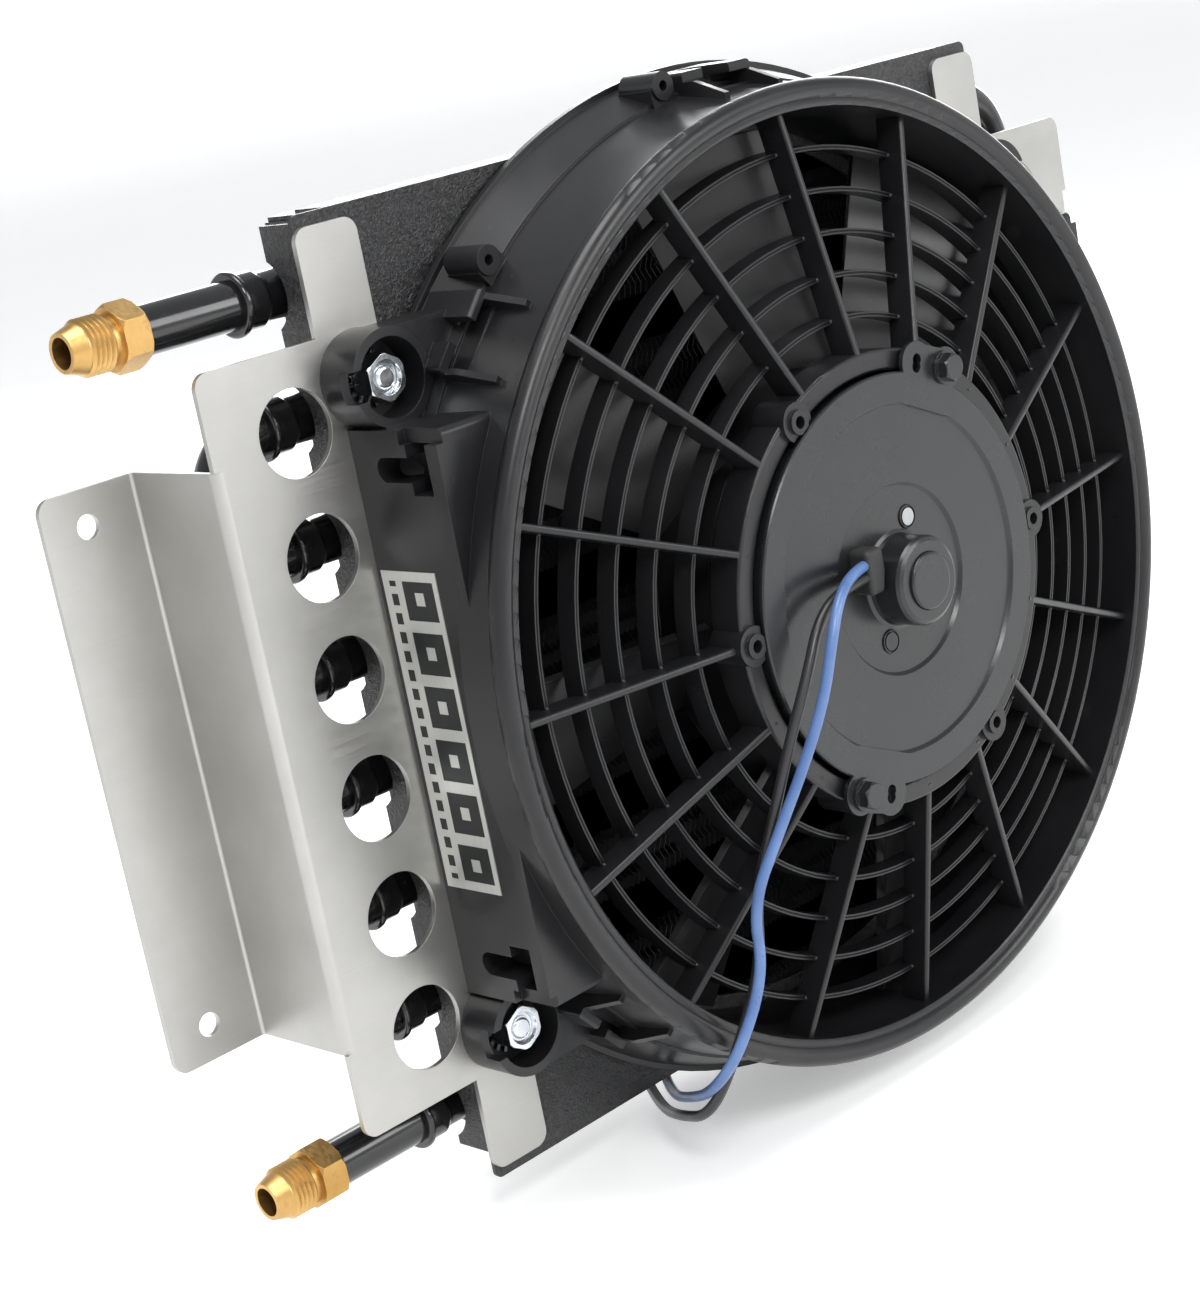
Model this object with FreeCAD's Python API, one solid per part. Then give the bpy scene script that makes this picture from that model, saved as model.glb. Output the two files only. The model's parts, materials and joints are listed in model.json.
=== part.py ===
"""Tube-and-fin hydraulic oil cooler with an electric fan, two brackets and flare fittings.

Frame: +X is the cooler's right seen from the fan, +Y is the way the air leaves (fan to fins),
+Z is up.  The origin is the centre of the four mounting holes, on the back of the flanges,
so everything of the cooler has Y below zero.  Millimetres.
"""
import FreeCAD
import Part
import math
import os

V = FreeCAD.Vector
os.makedirs("parts", exist_ok=True)

# ---------------------------------------------------------------- core
TUBE_COUNT = 8
TUBE_PITCH = 31.75
TUBE_OD = 12.7
TUBE_WALL = 0.9
TUBE_Y = -18.0
BEND_X = 144.5
BEAD_OD = 16.8
BEAD_LENGTH = 2.2
SOCKET_OD = 14.6
SOCKET_LENGTH = 7.5
SOCKET_DEPTH = 5.6
FIN_HALF_WIDTH = 115.0
FIN_DEPTH = 31.8
FIN_HALF_HEIGHT = 127.0
SHEET = 1.2
EXPANSION_GAP = 0.05
RAIL_GAP = 0.2

# ---------------------------------------------------------------- front plate
PLATE_HALF_WIDTH = 133.4
PLATE_HALF_HEIGHT = 130.2
PLATE_FOLD_DEPTH = 13.0
OPENING_R = 123.0
TOP_FOLD_HALF_WIDTH = 121.5
SIDE_FOLD_TOP = 128.4
SIDE_FOLD_BOTTOM = -122.2
TUBE_NOTCH_R = 9.6

# ---------------------------------------------------------------- brackets
BRACKET = 1.6
BRACKET_OFFSET = 37.0
WIDE_X = 172.4
WIDE_HALF_HEIGHT = 100.0
TAB_OUTER_X = 134.4
TAB_INNER_X = 114.8
TAB_HALF_HEIGHT = 127.0
TAB_CORNER_R = 4.0
LIGHT_HOLE_X = 146.4
LIGHT_HOLE_R = 11.15
STEP_HALF_HEIGHT = 76.2
FLANGE_X = 200.6
MOUNT_HOLE_X = 187.9
MOUNT_HOLE_Z = 66.7
MOUNT_HOLE_R = 3.2
FLANGE_CORNER_R = 4.0
BEND_OUTER_R = 2.6

# ---------------------------------------------------------------- ear bolts
EAR_X = 123.6
EAR_Z = 87.6
BOLT_R = 3.1
BOLT_HOLE_R = 3.4
NUT_FLATS = 11.1
NUT_HEIGHT = 6.4
NUT_RECESS_R = 4.5
WASHER_R = 7.6
WASHER = 1.2
BOLT_HEAD_HEIGHT = 4.0
EAR_R = 12.6
EAR_WELL_R = 10.1
EAR_DEPTH = 13.0
EAR_FLOOR = 3.2
TOWER_TOP_R = 142.6
POST_R = 141.6
POST_DEPTH = 18.0
TOWER_ANGLES = (90, 138, 222, 270, 42, 318)
POST_ANGLES = (97.5, 129.5, 277.5, 309.5)

# ---------------------------------------------------------------- fan housing
LIP_R = 143.9
LIP = 2.0
BAND_TOP_R = 137.8
BAND_DEPTH = 15.8
CONE_TOP_R = 134.4
CONE_DEPTH = 35.0
RIM_DEPTH = 42.4
RIM_INNER_R = 127.9
THROAT_R = 126.5
SIDE_WALL_X = 131.0
SIDE_WALL_HALF_HEIGHT = 76.0
SIDE_WALL_DEPTH = 33.0
BEAD_R = 132.6
BEAD_RADIUS = 3.0
INNER_BEAD_R = 129.2
INNER_BEAD_RADIUS = 1.8
HOLLOW_DEPTH = 12.0
WALL = 3.0

# ---------------------------------------------------------------- guard
RIB_COUNT = 16
RIB_THICK = 2.1
RIB_HEIGHT = 8.6
RIB_RIM_DEPTH = 40.6
HUB_SETBACK = 3.1
HUB_RING_OUTER = 62.6
HUB_RING_INNER = 56.7
HUB_RING_DEPTH = 10.0
SLAT_COUNT = 5
SLAT_OUTER_R = 117.2
SLAT_PITCH = 11.35
SLAT_THICK = 1.7
SLAT_HEIGHT = 6.0
SLAT_SETBACK = 5.0
SLAT_GROOVE = 0.5
SLAT_GROOVE_DEPTH = 0.4
BOSS_COUNT = 6
BOSS_PCD_R = 59.6
BOSS_R = 5.4
BOSS_BORE_R = 1.7
BOSS_COLLAR_R = 3.3
BOSS_COLLAR = 1.0
GUARD_FIT = 0.02

# ---------------------------------------------------------------- motor
COVER_DEPTH = 57.4
COVER_THICK = 1.4
COVER_R = 56.2
COVER_DISC_R = 48.0
COVER_HUB_R = 26.4
COVER_STEP = 1.0
COVER_BEVEL = 0.9
LUG_ANGLE = 60.0
LUG_SPREAD = 11.0
LUG_R = 6.0
CAP_BOSS_R = 12.3
CAP_BOSS_BEVEL = 1.5
CAP_BOSS_HEIGHT = 8.7
CAP_R = 7.9
CAP_PROUD = 1.1
PLUG_PCD_R = 17.2
PLUG_ANGLE = 65.0
PLUG_R = 3.3
PLUG_GROOVE_R = 2.5
MARK_R = 1.1
MARK_X = 20.6
MARK_Z = -11.0
GROMMET_X = -14.8
GROMMET_Z = 6.9
GROMMET_HALF_WIDTH = 3.4
GROMMET_HALF_HEIGHT = 6.2
GROMMET_DEPTH = 6.6
GROMMET_CORNER_R = 1.6
GROMMET_NECK_R = 2.8
CAN_R = 55.0
CAN_LENGTH = 25.6
CAN_WALL = 1.6
MAGNET_COUNT = 6
MAGNET_THICK = 6.0
MAGNET_LENGTH = 16.0
AIR_GAP = 0.8
ARMATURE_LENGTH = 11.0
SHAFT_R = 4.0
RUNNING_GAP = 0.03
COMMUTATOR_R = 12.0
COMMUTATOR_LENGTH = 5.0
BEARING_R = 8.0
BEARING_LENGTH = 4.6

# ---------------------------------------------------------------- impeller
BLADE_COUNT = 8
BLADE_TIP_R = 124.0
BLADE_THICK = 2.2
BLADE_PHASE = 7.0
BLADE_ROOT_SETBACK = 26.4
BLADE_TIP_DEPTH = 19.5
BLADE_ROOT_CHORD = 31.0
BLADE_TIP_CHORD = 47.0
BLADE_ROOT_PITCH = 38.0
BLADE_TIP_PITCH = 20.0
WHEEL_R = 60.4
WHEEL_WALL = 2.6
WHEEL_SETBACK = 15.4
WHEEL_LENGTH = 20.4

# ---------------------------------------------------------------- fittings
FITTING_MOUTH_X = 193.8
FITTING_HEX_FRONT_X = 180.4
FITTING_HEX_BACK_X = 172.8
FITTING_HEX_FLATS = 15.2
THREAD_R = 7.14
THREAD_PITCH = 1.41
CONE_LENGTH = 4.2
CONE_NOSE_R = 5.0
FITTING_BORE_R = 3.9
TUBE_SOCKET = 6.0

# ---------------------------------------------------------------- wires
WIRE_OD = 3.0
CLIP_THICK = 1.0
TERMINAL_LENGTH = 16.0
TERMINAL_R = 2.3

# ---------------------------------------------------------------- planes and positions that follow
bracket_front = -BRACKET_OFFSET
plate_front = bracket_front + BRACKET
plate_back = plate_front + SHEET
sheet_flange_back = plate_back + SHEET
fin_front = TUBE_Y - FIN_DEPTH / 2
fin_back = TUBE_Y + FIN_DEPTH / 2
sheet_x = FIN_HALF_WIDTH + RAIL_GAP
tube_r = TUBE_OD / 2
tube_bore_r = tube_r - TUBE_WALL
bend_r = TUBE_PITCH / 2
tube_z = [(TUBE_COUNT - 1 - 2 * i) * TUBE_PITCH / 2 for i in range(TUBE_COUNT)]
ear_points = [(sx * EAR_X, sz * EAR_Z) for sx in (-1, 1) for sz in (-1, 1)]
boss_angles = [LUG_ANGLE + i * 360.0 / BOSS_COUNT for i in range(BOSS_COUNT)]
lug_angles = [LUG_ANGLE, LUG_ANGLE + 180.0]
rib_hub_depth = COVER_DEPTH - HUB_SETBACK
cap_boss_depth = COVER_DEPTH + CAP_BOSS_HEIGHT
cap_depth = cap_boss_depth + CAP_PROUD
wheel_front_depth = COVER_DEPTH - WHEEL_SETBACK
wheel_back_depth = wheel_front_depth - WHEEL_LENGTH
blade_root_depth = COVER_DEPTH - BLADE_ROOT_SETBACK
rib_slope = (rib_hub_depth - RIB_RIM_DEPTH) / (RIM_INNER_R - HUB_RING_OUTER)


def fan_y(depth):
    """Y of a plane that stands `depth` in front of the brackets' front face."""
    return bracket_front - depth


def rib_front(radius):
    """Depth of the guard ribs' front edge at a radius."""
    return RIB_RIM_DEPTH + (RIM_INNER_R - radius) * rib_slope


# ---------------------------------------------------------------- shape helpers
def box(x0, x1, y0, y1, z0, z1):
    return Part.makeBox(x1 - x0, y1 - y0, z1 - z0, V(x0, y0, z0))


def cyl_y(r, y0, y1, x=0.0, z=0.0):
    return Part.makeCylinder(r, y1 - y0, V(x, y0, z), V(0, 1, 0))


def cyl_x(r, x0, x1, y, z):
    return Part.makeCylinder(r, x1 - x0, V(x0, y, z), V(1, 0, 0))


def ring_y(outer, inner, y0, y1, x=0.0, z=0.0):
    return cyl_y(outer, y0, y1, x, z).cut(cyl_y(inner, y0 - 1, y1 + 1, x, z))


def pipe_x(outer, inner, x0, x1, y, z):
    return cyl_x(outer, x0, x1, y, z).cut(cyl_x(inner, x0 - 1, x1 + 1, y, z))


def spun(points):
    """A solid turned about the Y axis from a closed outline of (radius, y) points."""
    outline = [V(r, y, 0) for r, y in points]
    face = Part.Face(Part.makePolygon(outline + outline[:1]))
    return face.revolve(V(0, 0, 0), V(0, 1, 0), 360)


def torus_y(major, minor, y):
    return Part.makeTorus(major, minor, V(0, y, 0), V(0, 1, 0))


def prism_y(points, y0, y1):
    """A straight prism along Y over a closed outline of (x, z) points."""
    outline = [V(x, y0, z) for x, z in points]
    return Part.Face(Part.makePolygon(outline + outline[:1])).extrude(V(0, y1 - y0, 0))


def hexagon_y(flats, y0, y1, x, z):
    corner = flats / math.sqrt(3)
    turn = [math.radians(90 + 60 * i) for i in range(6)]
    return prism_y([(x + corner * math.cos(a), z + corner * math.sin(a)) for a in turn], y0, y1)


def polar(radius, angle):
    """(x, z) of a point at a radius and an angle in degrees, seen from the fan."""
    return radius * math.cos(math.radians(angle)), radius * math.sin(math.radians(angle))


def turned(shape, angle):
    """A copy turned about the fan axis, anticlockwise seen from the fan."""
    copy = shape.copy()
    copy.rotate(V(0, 0, 0), V(0, 1, 0), -angle)
    return copy


def mirrored(shape):
    return shape.mirror(V(0, 0, 0), V(1, 0, 0))


def joined(shapes):
    result = shapes[0]
    if len(shapes) > 1:
        result = shapes[0].fuse(shapes[1:])
    return result.removeSplitter()


def rounded(shape, radius, wanted):
    """Fillet the straight edges that `wanted` picks."""
    edges = [e for e in shape.Edges if wanted(e)]
    return shape.makeFillet(radius, edges)


def along(edge, direction):
    line = edge.Curve
    if not hasattr(line, "Direction"):
        return False
    return abs(abs(line.Direction.dot(direction)) - 1) < 1e-6


def save(name, shape):
    shape.exportStep("parts/%s.step" % name)
    print("%-22s solids %3d  volume %9.1f mm3  valid %s"
          % (name, len(shape.Solids), shape.Volume, shape.isValid()))


# ---------------------------------------------------------------- core pieces
def fin_pack():
    block = box(-FIN_HALF_WIDTH, FIN_HALF_WIDTH, fin_front, fin_back, -FIN_HALF_HEIGHT, FIN_HALF_HEIGHT)
    reach = FIN_HALF_WIDTH + 1
    bores = [cyl_x(tube_r + EXPANSION_GAP, -reach, reach, TUBE_Y, z) for z in tube_z]
    return block.cut(bores)


def tube_sheet():
    """The right tube sheet: a web that the tubes pass, and a flange under the front plate."""
    web = box(sheet_x, sheet_x + SHEET, plate_back, fin_back, -FIN_HALF_HEIGHT, FIN_HALF_HEIGHT)
    flange = box(sheet_x, PLATE_HALF_WIDTH - 3 * SHEET, plate_back, sheet_flange_back,
                 -FIN_HALF_HEIGHT, FIN_HALF_HEIGHT)
    holes = [cyl_x(tube_r + EXPANSION_GAP, sheet_x - 1, sheet_x + 5, TUBE_Y, z) for z in tube_z]
    holes += [cyl_y(BOLT_HOLE_R, plate_back - 1, sheet_flange_back + 1, EAR_X, sz * EAR_Z) for sz in (-1, 1)]
    return joined([web, flange]).cut(holes)


def core_rail(side):
    """A shallow channel that closes the fin pack at the top or the bottom."""
    low = FIN_HALF_HEIGHT
    high = low + SHEET
    plate = box(-sheet_x, sheet_x, plate_back, fin_back, low, high)
    lip = box(-FIN_HALF_WIDTH + 4, FIN_HALF_WIDTH - 4, fin_back, fin_back + SHEET, high - 6, high)
    rail = joined([plate, lip])
    if side < 0:
        rail = rail.mirror(V(0, 0, 0), V(0, 0, 1))
    return rail


def front_plate():
    """The pan in front of the fins, with folded edges and an opening for the fan."""
    w = PLATE_HALF_WIDTH
    h = PLATE_HALF_HEIGHT
    fold_back = plate_front + PLATE_FOLD_DEPTH
    face = box(-w, w, plate_front, plate_back, -h, h)
    folds = [box(-TOP_FOLD_HALF_WIDTH, TOP_FOLD_HALF_WIDTH, plate_front, fold_back, h - SHEET, h),
             box(-TOP_FOLD_HALF_WIDTH, TOP_FOLD_HALF_WIDTH, plate_front, fold_back, -h, SHEET - h),
             box(w - SHEET, w, plate_front, fold_back, SIDE_FOLD_BOTTOM, SIDE_FOLD_TOP),
             box(-w, SHEET - w, plate_front, fold_back, SIDE_FOLD_BOTTOM, SIDE_FOLD_TOP)]
    pan = joined([face] + folds)
    cuts = [cyl_x(TUBE_NOTCH_R, -w - 1, w + 1, TUBE_Y, z) for z in tube_z]
    cuts += [cyl_y(OPENING_R, plate_front - 1, plate_back + 1)]
    cuts += [cyl_y(BOLT_HOLE_R, plate_front - 1, plate_back + 1, x, z) for x, z in ear_points]
    pan = pan.cut(cuts)
    return rounded(pan, 2.2, lambda e: along(e, V(0, 1, 0)) and e.Length < 2 and
                   abs(abs(e.CenterOfMass.x) - w) < 0.01 and abs(abs(e.CenterOfMass.z) - h) < 0.01)


def tube_bend(x, z_mid, way):
    """Half a ring of tube between two runs; way is +1 for the right side, -1 for the left."""
    outer = Part.makeTorus(bend_r, tube_r, V(x, TUBE_Y, z_mid), V(0, 1, 0))
    inner = Part.makeTorus(bend_r, tube_bore_r, V(x, TUBE_Y, z_mid), V(0, 1, 0))
    reach = bend_r + tube_r + 1
    half = box(min(x, x + way * reach), max(x, x + way * reach), TUBE_Y - reach, TUBE_Y + reach,
               z_mid - reach, z_mid + reach)
    return outer.cut(inner).common(half)


def core_tube_run(z):
    """One straight run: a beaded socket on the left, then plain tube up to the bend on the right."""
    r = BEAD_OD / 2
    mouth = -BEND_X
    bead = cyl_x(r, mouth, mouth + BEAD_LENGTH, TUBE_Y, z)
    bead = rounded(bead, 0.9, lambda e: abs(e.Length - 2 * math.pi * r) < 0.01)
    sleeve = cyl_x(SOCKET_OD / 2, mouth + 1, mouth + SOCKET_LENGTH, TUBE_Y, z)
    neck = Part.makeCone(SOCKET_OD / 2, tube_r, 1.6, V(mouth + SOCKET_LENGTH, TUBE_Y, z), V(1, 0, 0))
    run = joined([bead, sleeve, neck, cyl_x(tube_r, mouth + 1, BEND_X, TUBE_Y, z)])
    socket = cyl_x(tube_r + EXPANSION_GAP, mouth - 1, mouth + SOCKET_DEPTH, TUBE_Y, z)
    return run.cut([socket, cyl_x(tube_bore_r, mouth - 1, BEND_X + 1, TUBE_Y, z)])


def hairpin(upper, lower):
    z_mid = (tube_z[upper] + tube_z[lower]) / 2
    runs = [core_tube_run(tube_z[upper]), core_tube_run(tube_z[lower])]
    return joined(runs + [tube_bend(BEND_X, z_mid, 1)])


def return_bend(upper, lower):
    z_mid = (tube_z[upper] + tube_z[lower]) / 2
    inside = -BEND_X + SOCKET_DEPTH - 0.2
    legs = [pipe_x(tube_r, tube_bore_r, -BEND_X, inside, TUBE_Y, tube_z[i]) for i in (upper, lower)]
    return joined(legs + [tube_bend(-BEND_X, z_mid, -1)])


def port_tube(index):
    """The straight inlet or outlet tube, from the bell into its fitting."""
    inside = -BEND_X + SOCKET_DEPTH - 0.2
    end = -FITTING_HEX_BACK_X - TUBE_SOCKET
    return pipe_x(tube_r, tube_bore_r, end, inside, TUBE_Y, tube_z[index])


def port_fitting(index):
    """A brass male flare fitting: hexagon, thread and sealing cone, bored for the tube."""
    z = tube_z[index]
    x_mouth = -FITTING_MOUTH_X
    x_hex = -FITTING_HEX_FRONT_X
    x_back = -FITTING_HEX_BACK_X
    corner = FITTING_HEX_FLATS / math.sqrt(3)
    turn = [math.radians(60 * i) for i in range(6)]
    outline = [V(x_hex, TUBE_Y + corner * math.sin(a), z + corner * math.cos(a)) for a in turn]
    hexagon = Part.Face(Part.makePolygon(outline + outline[:1])).extrude(V(x_back - x_hex, 0, 0))
    chamfer_r = corner - 0.9
    bevel = corner - chamfer_r
    keep = Part.makeCone(chamfer_r, corner + 2 * bevel, 3 * bevel, V(x_hex, TUBE_Y, z), V(1, 0, 0))
    keep = keep.fuse(cyl_x(corner + 2 * bevel, x_hex + 3 * bevel, x_back - 3 * bevel, TUBE_Y, z))
    keep = keep.fuse(Part.makeCone(chamfer_r, corner + 2 * bevel, 3 * bevel, V(x_back, TUBE_Y, z), V(-1, 0, 0)))
    hexagon = hexagon.common(keep)
    root_r = THREAD_R - 0.55 * THREAD_PITCH
    cone = Part.makeCone(CONE_NOSE_R, root_r, CONE_LENGTH, V(x_mouth, TUBE_Y, z), V(1, 0, 0))
    core = cyl_x(root_r, x_mouth + CONE_LENGTH, x_hex, TUBE_Y, z)
    turns = int((-x_mouth - CONE_LENGTH + x_hex - 1.0) / THREAD_PITCH)
    half = THREAD_PITCH / 2
    ridges = []
    for i in range(turns):
        x = x_mouth + CONE_LENGTH + 0.3 + i * THREAD_PITCH
        ridges.append(Part.makeCone(root_r, THREAD_R, half, V(x, TUBE_Y, z), V(1, 0, 0)))
        ridges.append(Part.makeCone(THREAD_R, root_r, half, V(x + half, TUBE_Y, z), V(1, 0, 0)))
    body = joined([hexagon, cone, core] + ridges)
    bore = cyl_x(FITTING_BORE_R, x_mouth - 1, x_back + 1, TUBE_Y, z)
    socket = cyl_x(tube_r + EXPANSION_GAP, x_back - TUBE_SOCKET, x_back + 1, TUBE_Y, z)
    return body.cut([bore, socket])


# ---------------------------------------------------------------- brackets
def bent_strip(x_start):
    """The step and the flange as one folded strip with bend radii."""
    front = bracket_front
    back = plate_front
    inner_x = WIDE_X - BRACKET
    outline = [V(x_start, front, 0), V(WIDE_X, front, 0), V(WIDE_X, -BRACKET, 0), V(FLANGE_X, -BRACKET, 0),
               V(FLANGE_X, 0, 0), V(inner_x, 0, 0), V(inner_x, back, 0), V(x_start, back, 0)]
    strip = Part.Face(Part.makePolygon(outline + outline[:1])).extrude(V(0, 0, 2 * STEP_HALF_HEIGHT))
    strip.translate(V(0, 0, -STEP_HALF_HEIGHT))
    outer = [(WIDE_X, front), (inner_x, 0)]
    inner = [(WIDE_X, -BRACKET), (inner_x, back)]
    for corners, radius in ((outer, BEND_OUTER_R), (inner, BEND_OUTER_R - BRACKET)):
        for x, y in corners:
            strip = rounded(strip, radius, lambda e: along(e, V(0, 0, 1)) and abs(e.CenterOfMass.x - x) < 0.01
                            and abs(e.CenterOfMass.y - y) < 0.01)
    return rounded(strip, FLANGE_CORNER_R, lambda e: along(e, V(0, 1, 0)) and abs(e.CenterOfMass.x - FLANGE_X) < 0.01)


def bracket():
    """The right bracket; the left one is its mirror image."""
    front = bracket_front
    back = plate_front
    x_fold = WIDE_X - BEND_OUTER_R - 1
    wide = box(TAB_OUTER_X, WIDE_X, front, back, -WIDE_HALF_HEIGHT, WIDE_HALF_HEIGHT)
    wide = rounded(wide, TAB_CORNER_R, lambda e: along(e, V(0, 1, 0)) and e.CenterOfMass.x > WIDE_X - 1)
    wide = wide.cut(box(x_fold, WIDE_X + 1, front - 1, back + 1, -STEP_HALF_HEIGHT, STEP_HALF_HEIGHT))
    tab = box(TAB_INNER_X, TAB_OUTER_X, front, back, -TAB_HALF_HEIGHT, TAB_HALF_HEIGHT)
    tab = rounded(tab, TAB_CORNER_R, lambda e: along(e, V(0, 1, 0)))
    fill = box(TAB_OUTER_X - TAB_CORNER_R - 1, TAB_OUTER_X, front, back, -WIDE_HALF_HEIGHT, WIDE_HALF_HEIGHT)
    plate = joined([wide, tab, fill, bent_strip(x_fold)])
    holes = [cyl_y(LIGHT_HOLE_R, front - 1, back + 1, LIGHT_HOLE_X, z) for z in tube_z[1:-1]]
    holes += [cyl_y(BOLT_HOLE_R, front - 1, back + 1, EAR_X, sz * EAR_Z) for sz in (-1, 1)]
    holes += [cyl_y(MOUNT_HOLE_R, -BRACKET - 1, 1, MOUNT_HOLE_X, sz * MOUNT_HOLE_Z) for sz in (-1, 1)]
    return plate.cut(holes)


# ---------------------------------------------------------------- ear fasteners
def at_ears(make):
    return Part.makeCompound([make(x, z) for x, z in ear_points])


def ear_bolt(x, z):
    tip = fan_y(EAR_FLOOR + WASHER + NUT_HEIGHT - 0.4)
    shank = cyl_y(BOLT_R, tip, sheet_flange_back, x, z)
    shank = rounded(shank, 1.1, lambda e: abs(e.CenterOfMass.y - tip) < 0.01 and e.Length > 10)
    head = hexagon_y(NUT_FLATS, sheet_flange_back, sheet_flange_back + BOLT_HEAD_HEIGHT, x, z)
    return joined([shank, head])


def ear_washer(x, z):
    return ring_y(WASHER_R, BOLT_R + 0.25, fan_y(EAR_FLOOR + WASHER), fan_y(EAR_FLOOR), x, z)


def ear_nut(x, z):
    """A locking nut: hexagon with a chamfered front and a cone down to its nylon ring."""
    seat = fan_y(EAR_FLOOR + WASHER)
    front = seat - NUT_HEIGHT
    corner = NUT_FLATS / math.sqrt(3)
    keep = Part.makeCone(corner + 1.3, corner - 0.5, 1.6, V(x, front + 1.6, z), V(0, -1, 0))
    keep = keep.fuse(cyl_y(corner + 1.3, front + 1.6, seat, x, z))
    nut = hexagon_y(NUT_FLATS, front, seat, x, z).common(keep)
    recess = Part.makeCone(NUT_RECESS_R, BOLT_R + 0.6, 1.5, V(x, front, z), V(0, 1, 0))
    return nut.cut([recess, cyl_y(BOLT_R + 0.05, front - 1, seat + 1, x, z)])


# ---------------------------------------------------------------- fan housing
def clip_tower(angle):
    """A clip pad on the cone: a raised plate with a round-ended slot, and two side walls in front."""
    top = TOWER_TOP_R
    pad = box(-11.5, 11.5, fan_y(22), fan_y(2.5), 130, top)
    pad = rounded(pad, 1.0, lambda e: e.CenterOfMass.z > top - 0.1)
    walls = []
    for x in (-11.5, 9.7):
        outline = [V(x, fan_y(33), 131), V(x, fan_y(33), 136), V(x, fan_y(21), top - 2.2), V(x, fan_y(21), 131)]
        walls.append(Part.Face(Part.makePolygon(outline + outline[:1])).extrude(V(1.8, 0, 0)))
    tower = joined([pad] + walls)
    stem = joined([box(-3.4, 3.4, fan_y(23), fan_y(10.5), 136.5, top + 1),
                   Part.makeCylinder(3.4, top + 1 - 136.5, V(0, fan_y(10.5), 136.5))])
    under = box(-9.7, 9.7, fan_y(23), fan_y(14), 136.5, top - 2.6)
    step = box(-11.6, -3.4, fan_y(23), fan_y(18.5), top - 2.6, top + 1)
    return turned(tower.cut([stem, under, step]), angle - 90)


def screw_post(angle):
    """A short screw boss that grows out of the band."""
    x, z = polar(POST_R, angle)
    post = cyl_y(3.9, fan_y(POST_DEPTH), fan_y(5), x, z)
    web = box(-4.4, 4.4, fan_y(POST_DEPTH - 0.8), fan_y(5), 131, POST_R)
    return joined([post, turned(web, angle - 90)]).cut(cyl_y(1.4, fan_y(POST_DEPTH + 1), fan_y(9), x, z))


def side_block(side):
    """The flat wall between two ears, with its top and bottom slots."""
    h = SIDE_WALL_HALF_HEIGHT
    inner = CONE_TOP_R * 0.62
    block = box(inner, SIDE_WALL_X, fan_y(SIDE_WALL_DEPTH), fan_y(0), -h, h)
    block = rounded(block, 2.0, lambda e: along(e, V(1, 0, 0)) and e.CenterOfMass.y < fan_y(10))
    slots = []
    for sz in (-1, 1):
        z = sz * 66.0
        slots.append(box(SIDE_WALL_X - 9, SIDE_WALL_X + 1, fan_y(22), fan_y(12), z - 3.2, z + 3.2))
        slots.append(Part.makeCylinder(3.2, 10, V(SIDE_WALL_X - 9, fan_y(12), z), V(1, 0, 0)))
        slots.append(box(SIDE_WALL_X - 9, SIDE_WALL_X + 1, fan_y(28.5), fan_y(21), z - 6.4, z + 6.4))
        step_in = SIDE_WALL_HALF_HEIGHT - 3.6
        slots.append(box(SIDE_WALL_X - 2.4, SIDE_WALL_X + 1, fan_y(SIDE_WALL_DEPTH + 1), fan_y(19),
                         min(sz * step_in, sz * 80), max(sz * step_in, sz * 80)))
    block = block.cut(slots)
    return block if side > 0 else mirrored(block)


def ear_block(x, z):
    """A bolt ear: a round well joined to the housing by a flat-topped web."""
    sx = math.copysign(1, x)
    sz = math.copysign(1, z)
    well = cyl_y(EAR_R, fan_y(EAR_DEPTH), fan_y(0), x, z)
    x_in = x - sx * 26
    web = box(min(x, x_in), max(x, x_in), fan_y(EAR_DEPTH - 0.6), fan_y(0), min(z - sz * 14, z + sz * 12),
              max(z - sz * 14, z + sz * 12))
    web = rounded(web, 1.5, lambda e: along(e, V(0, 1, 0)))
    return joined([well, web])


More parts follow.
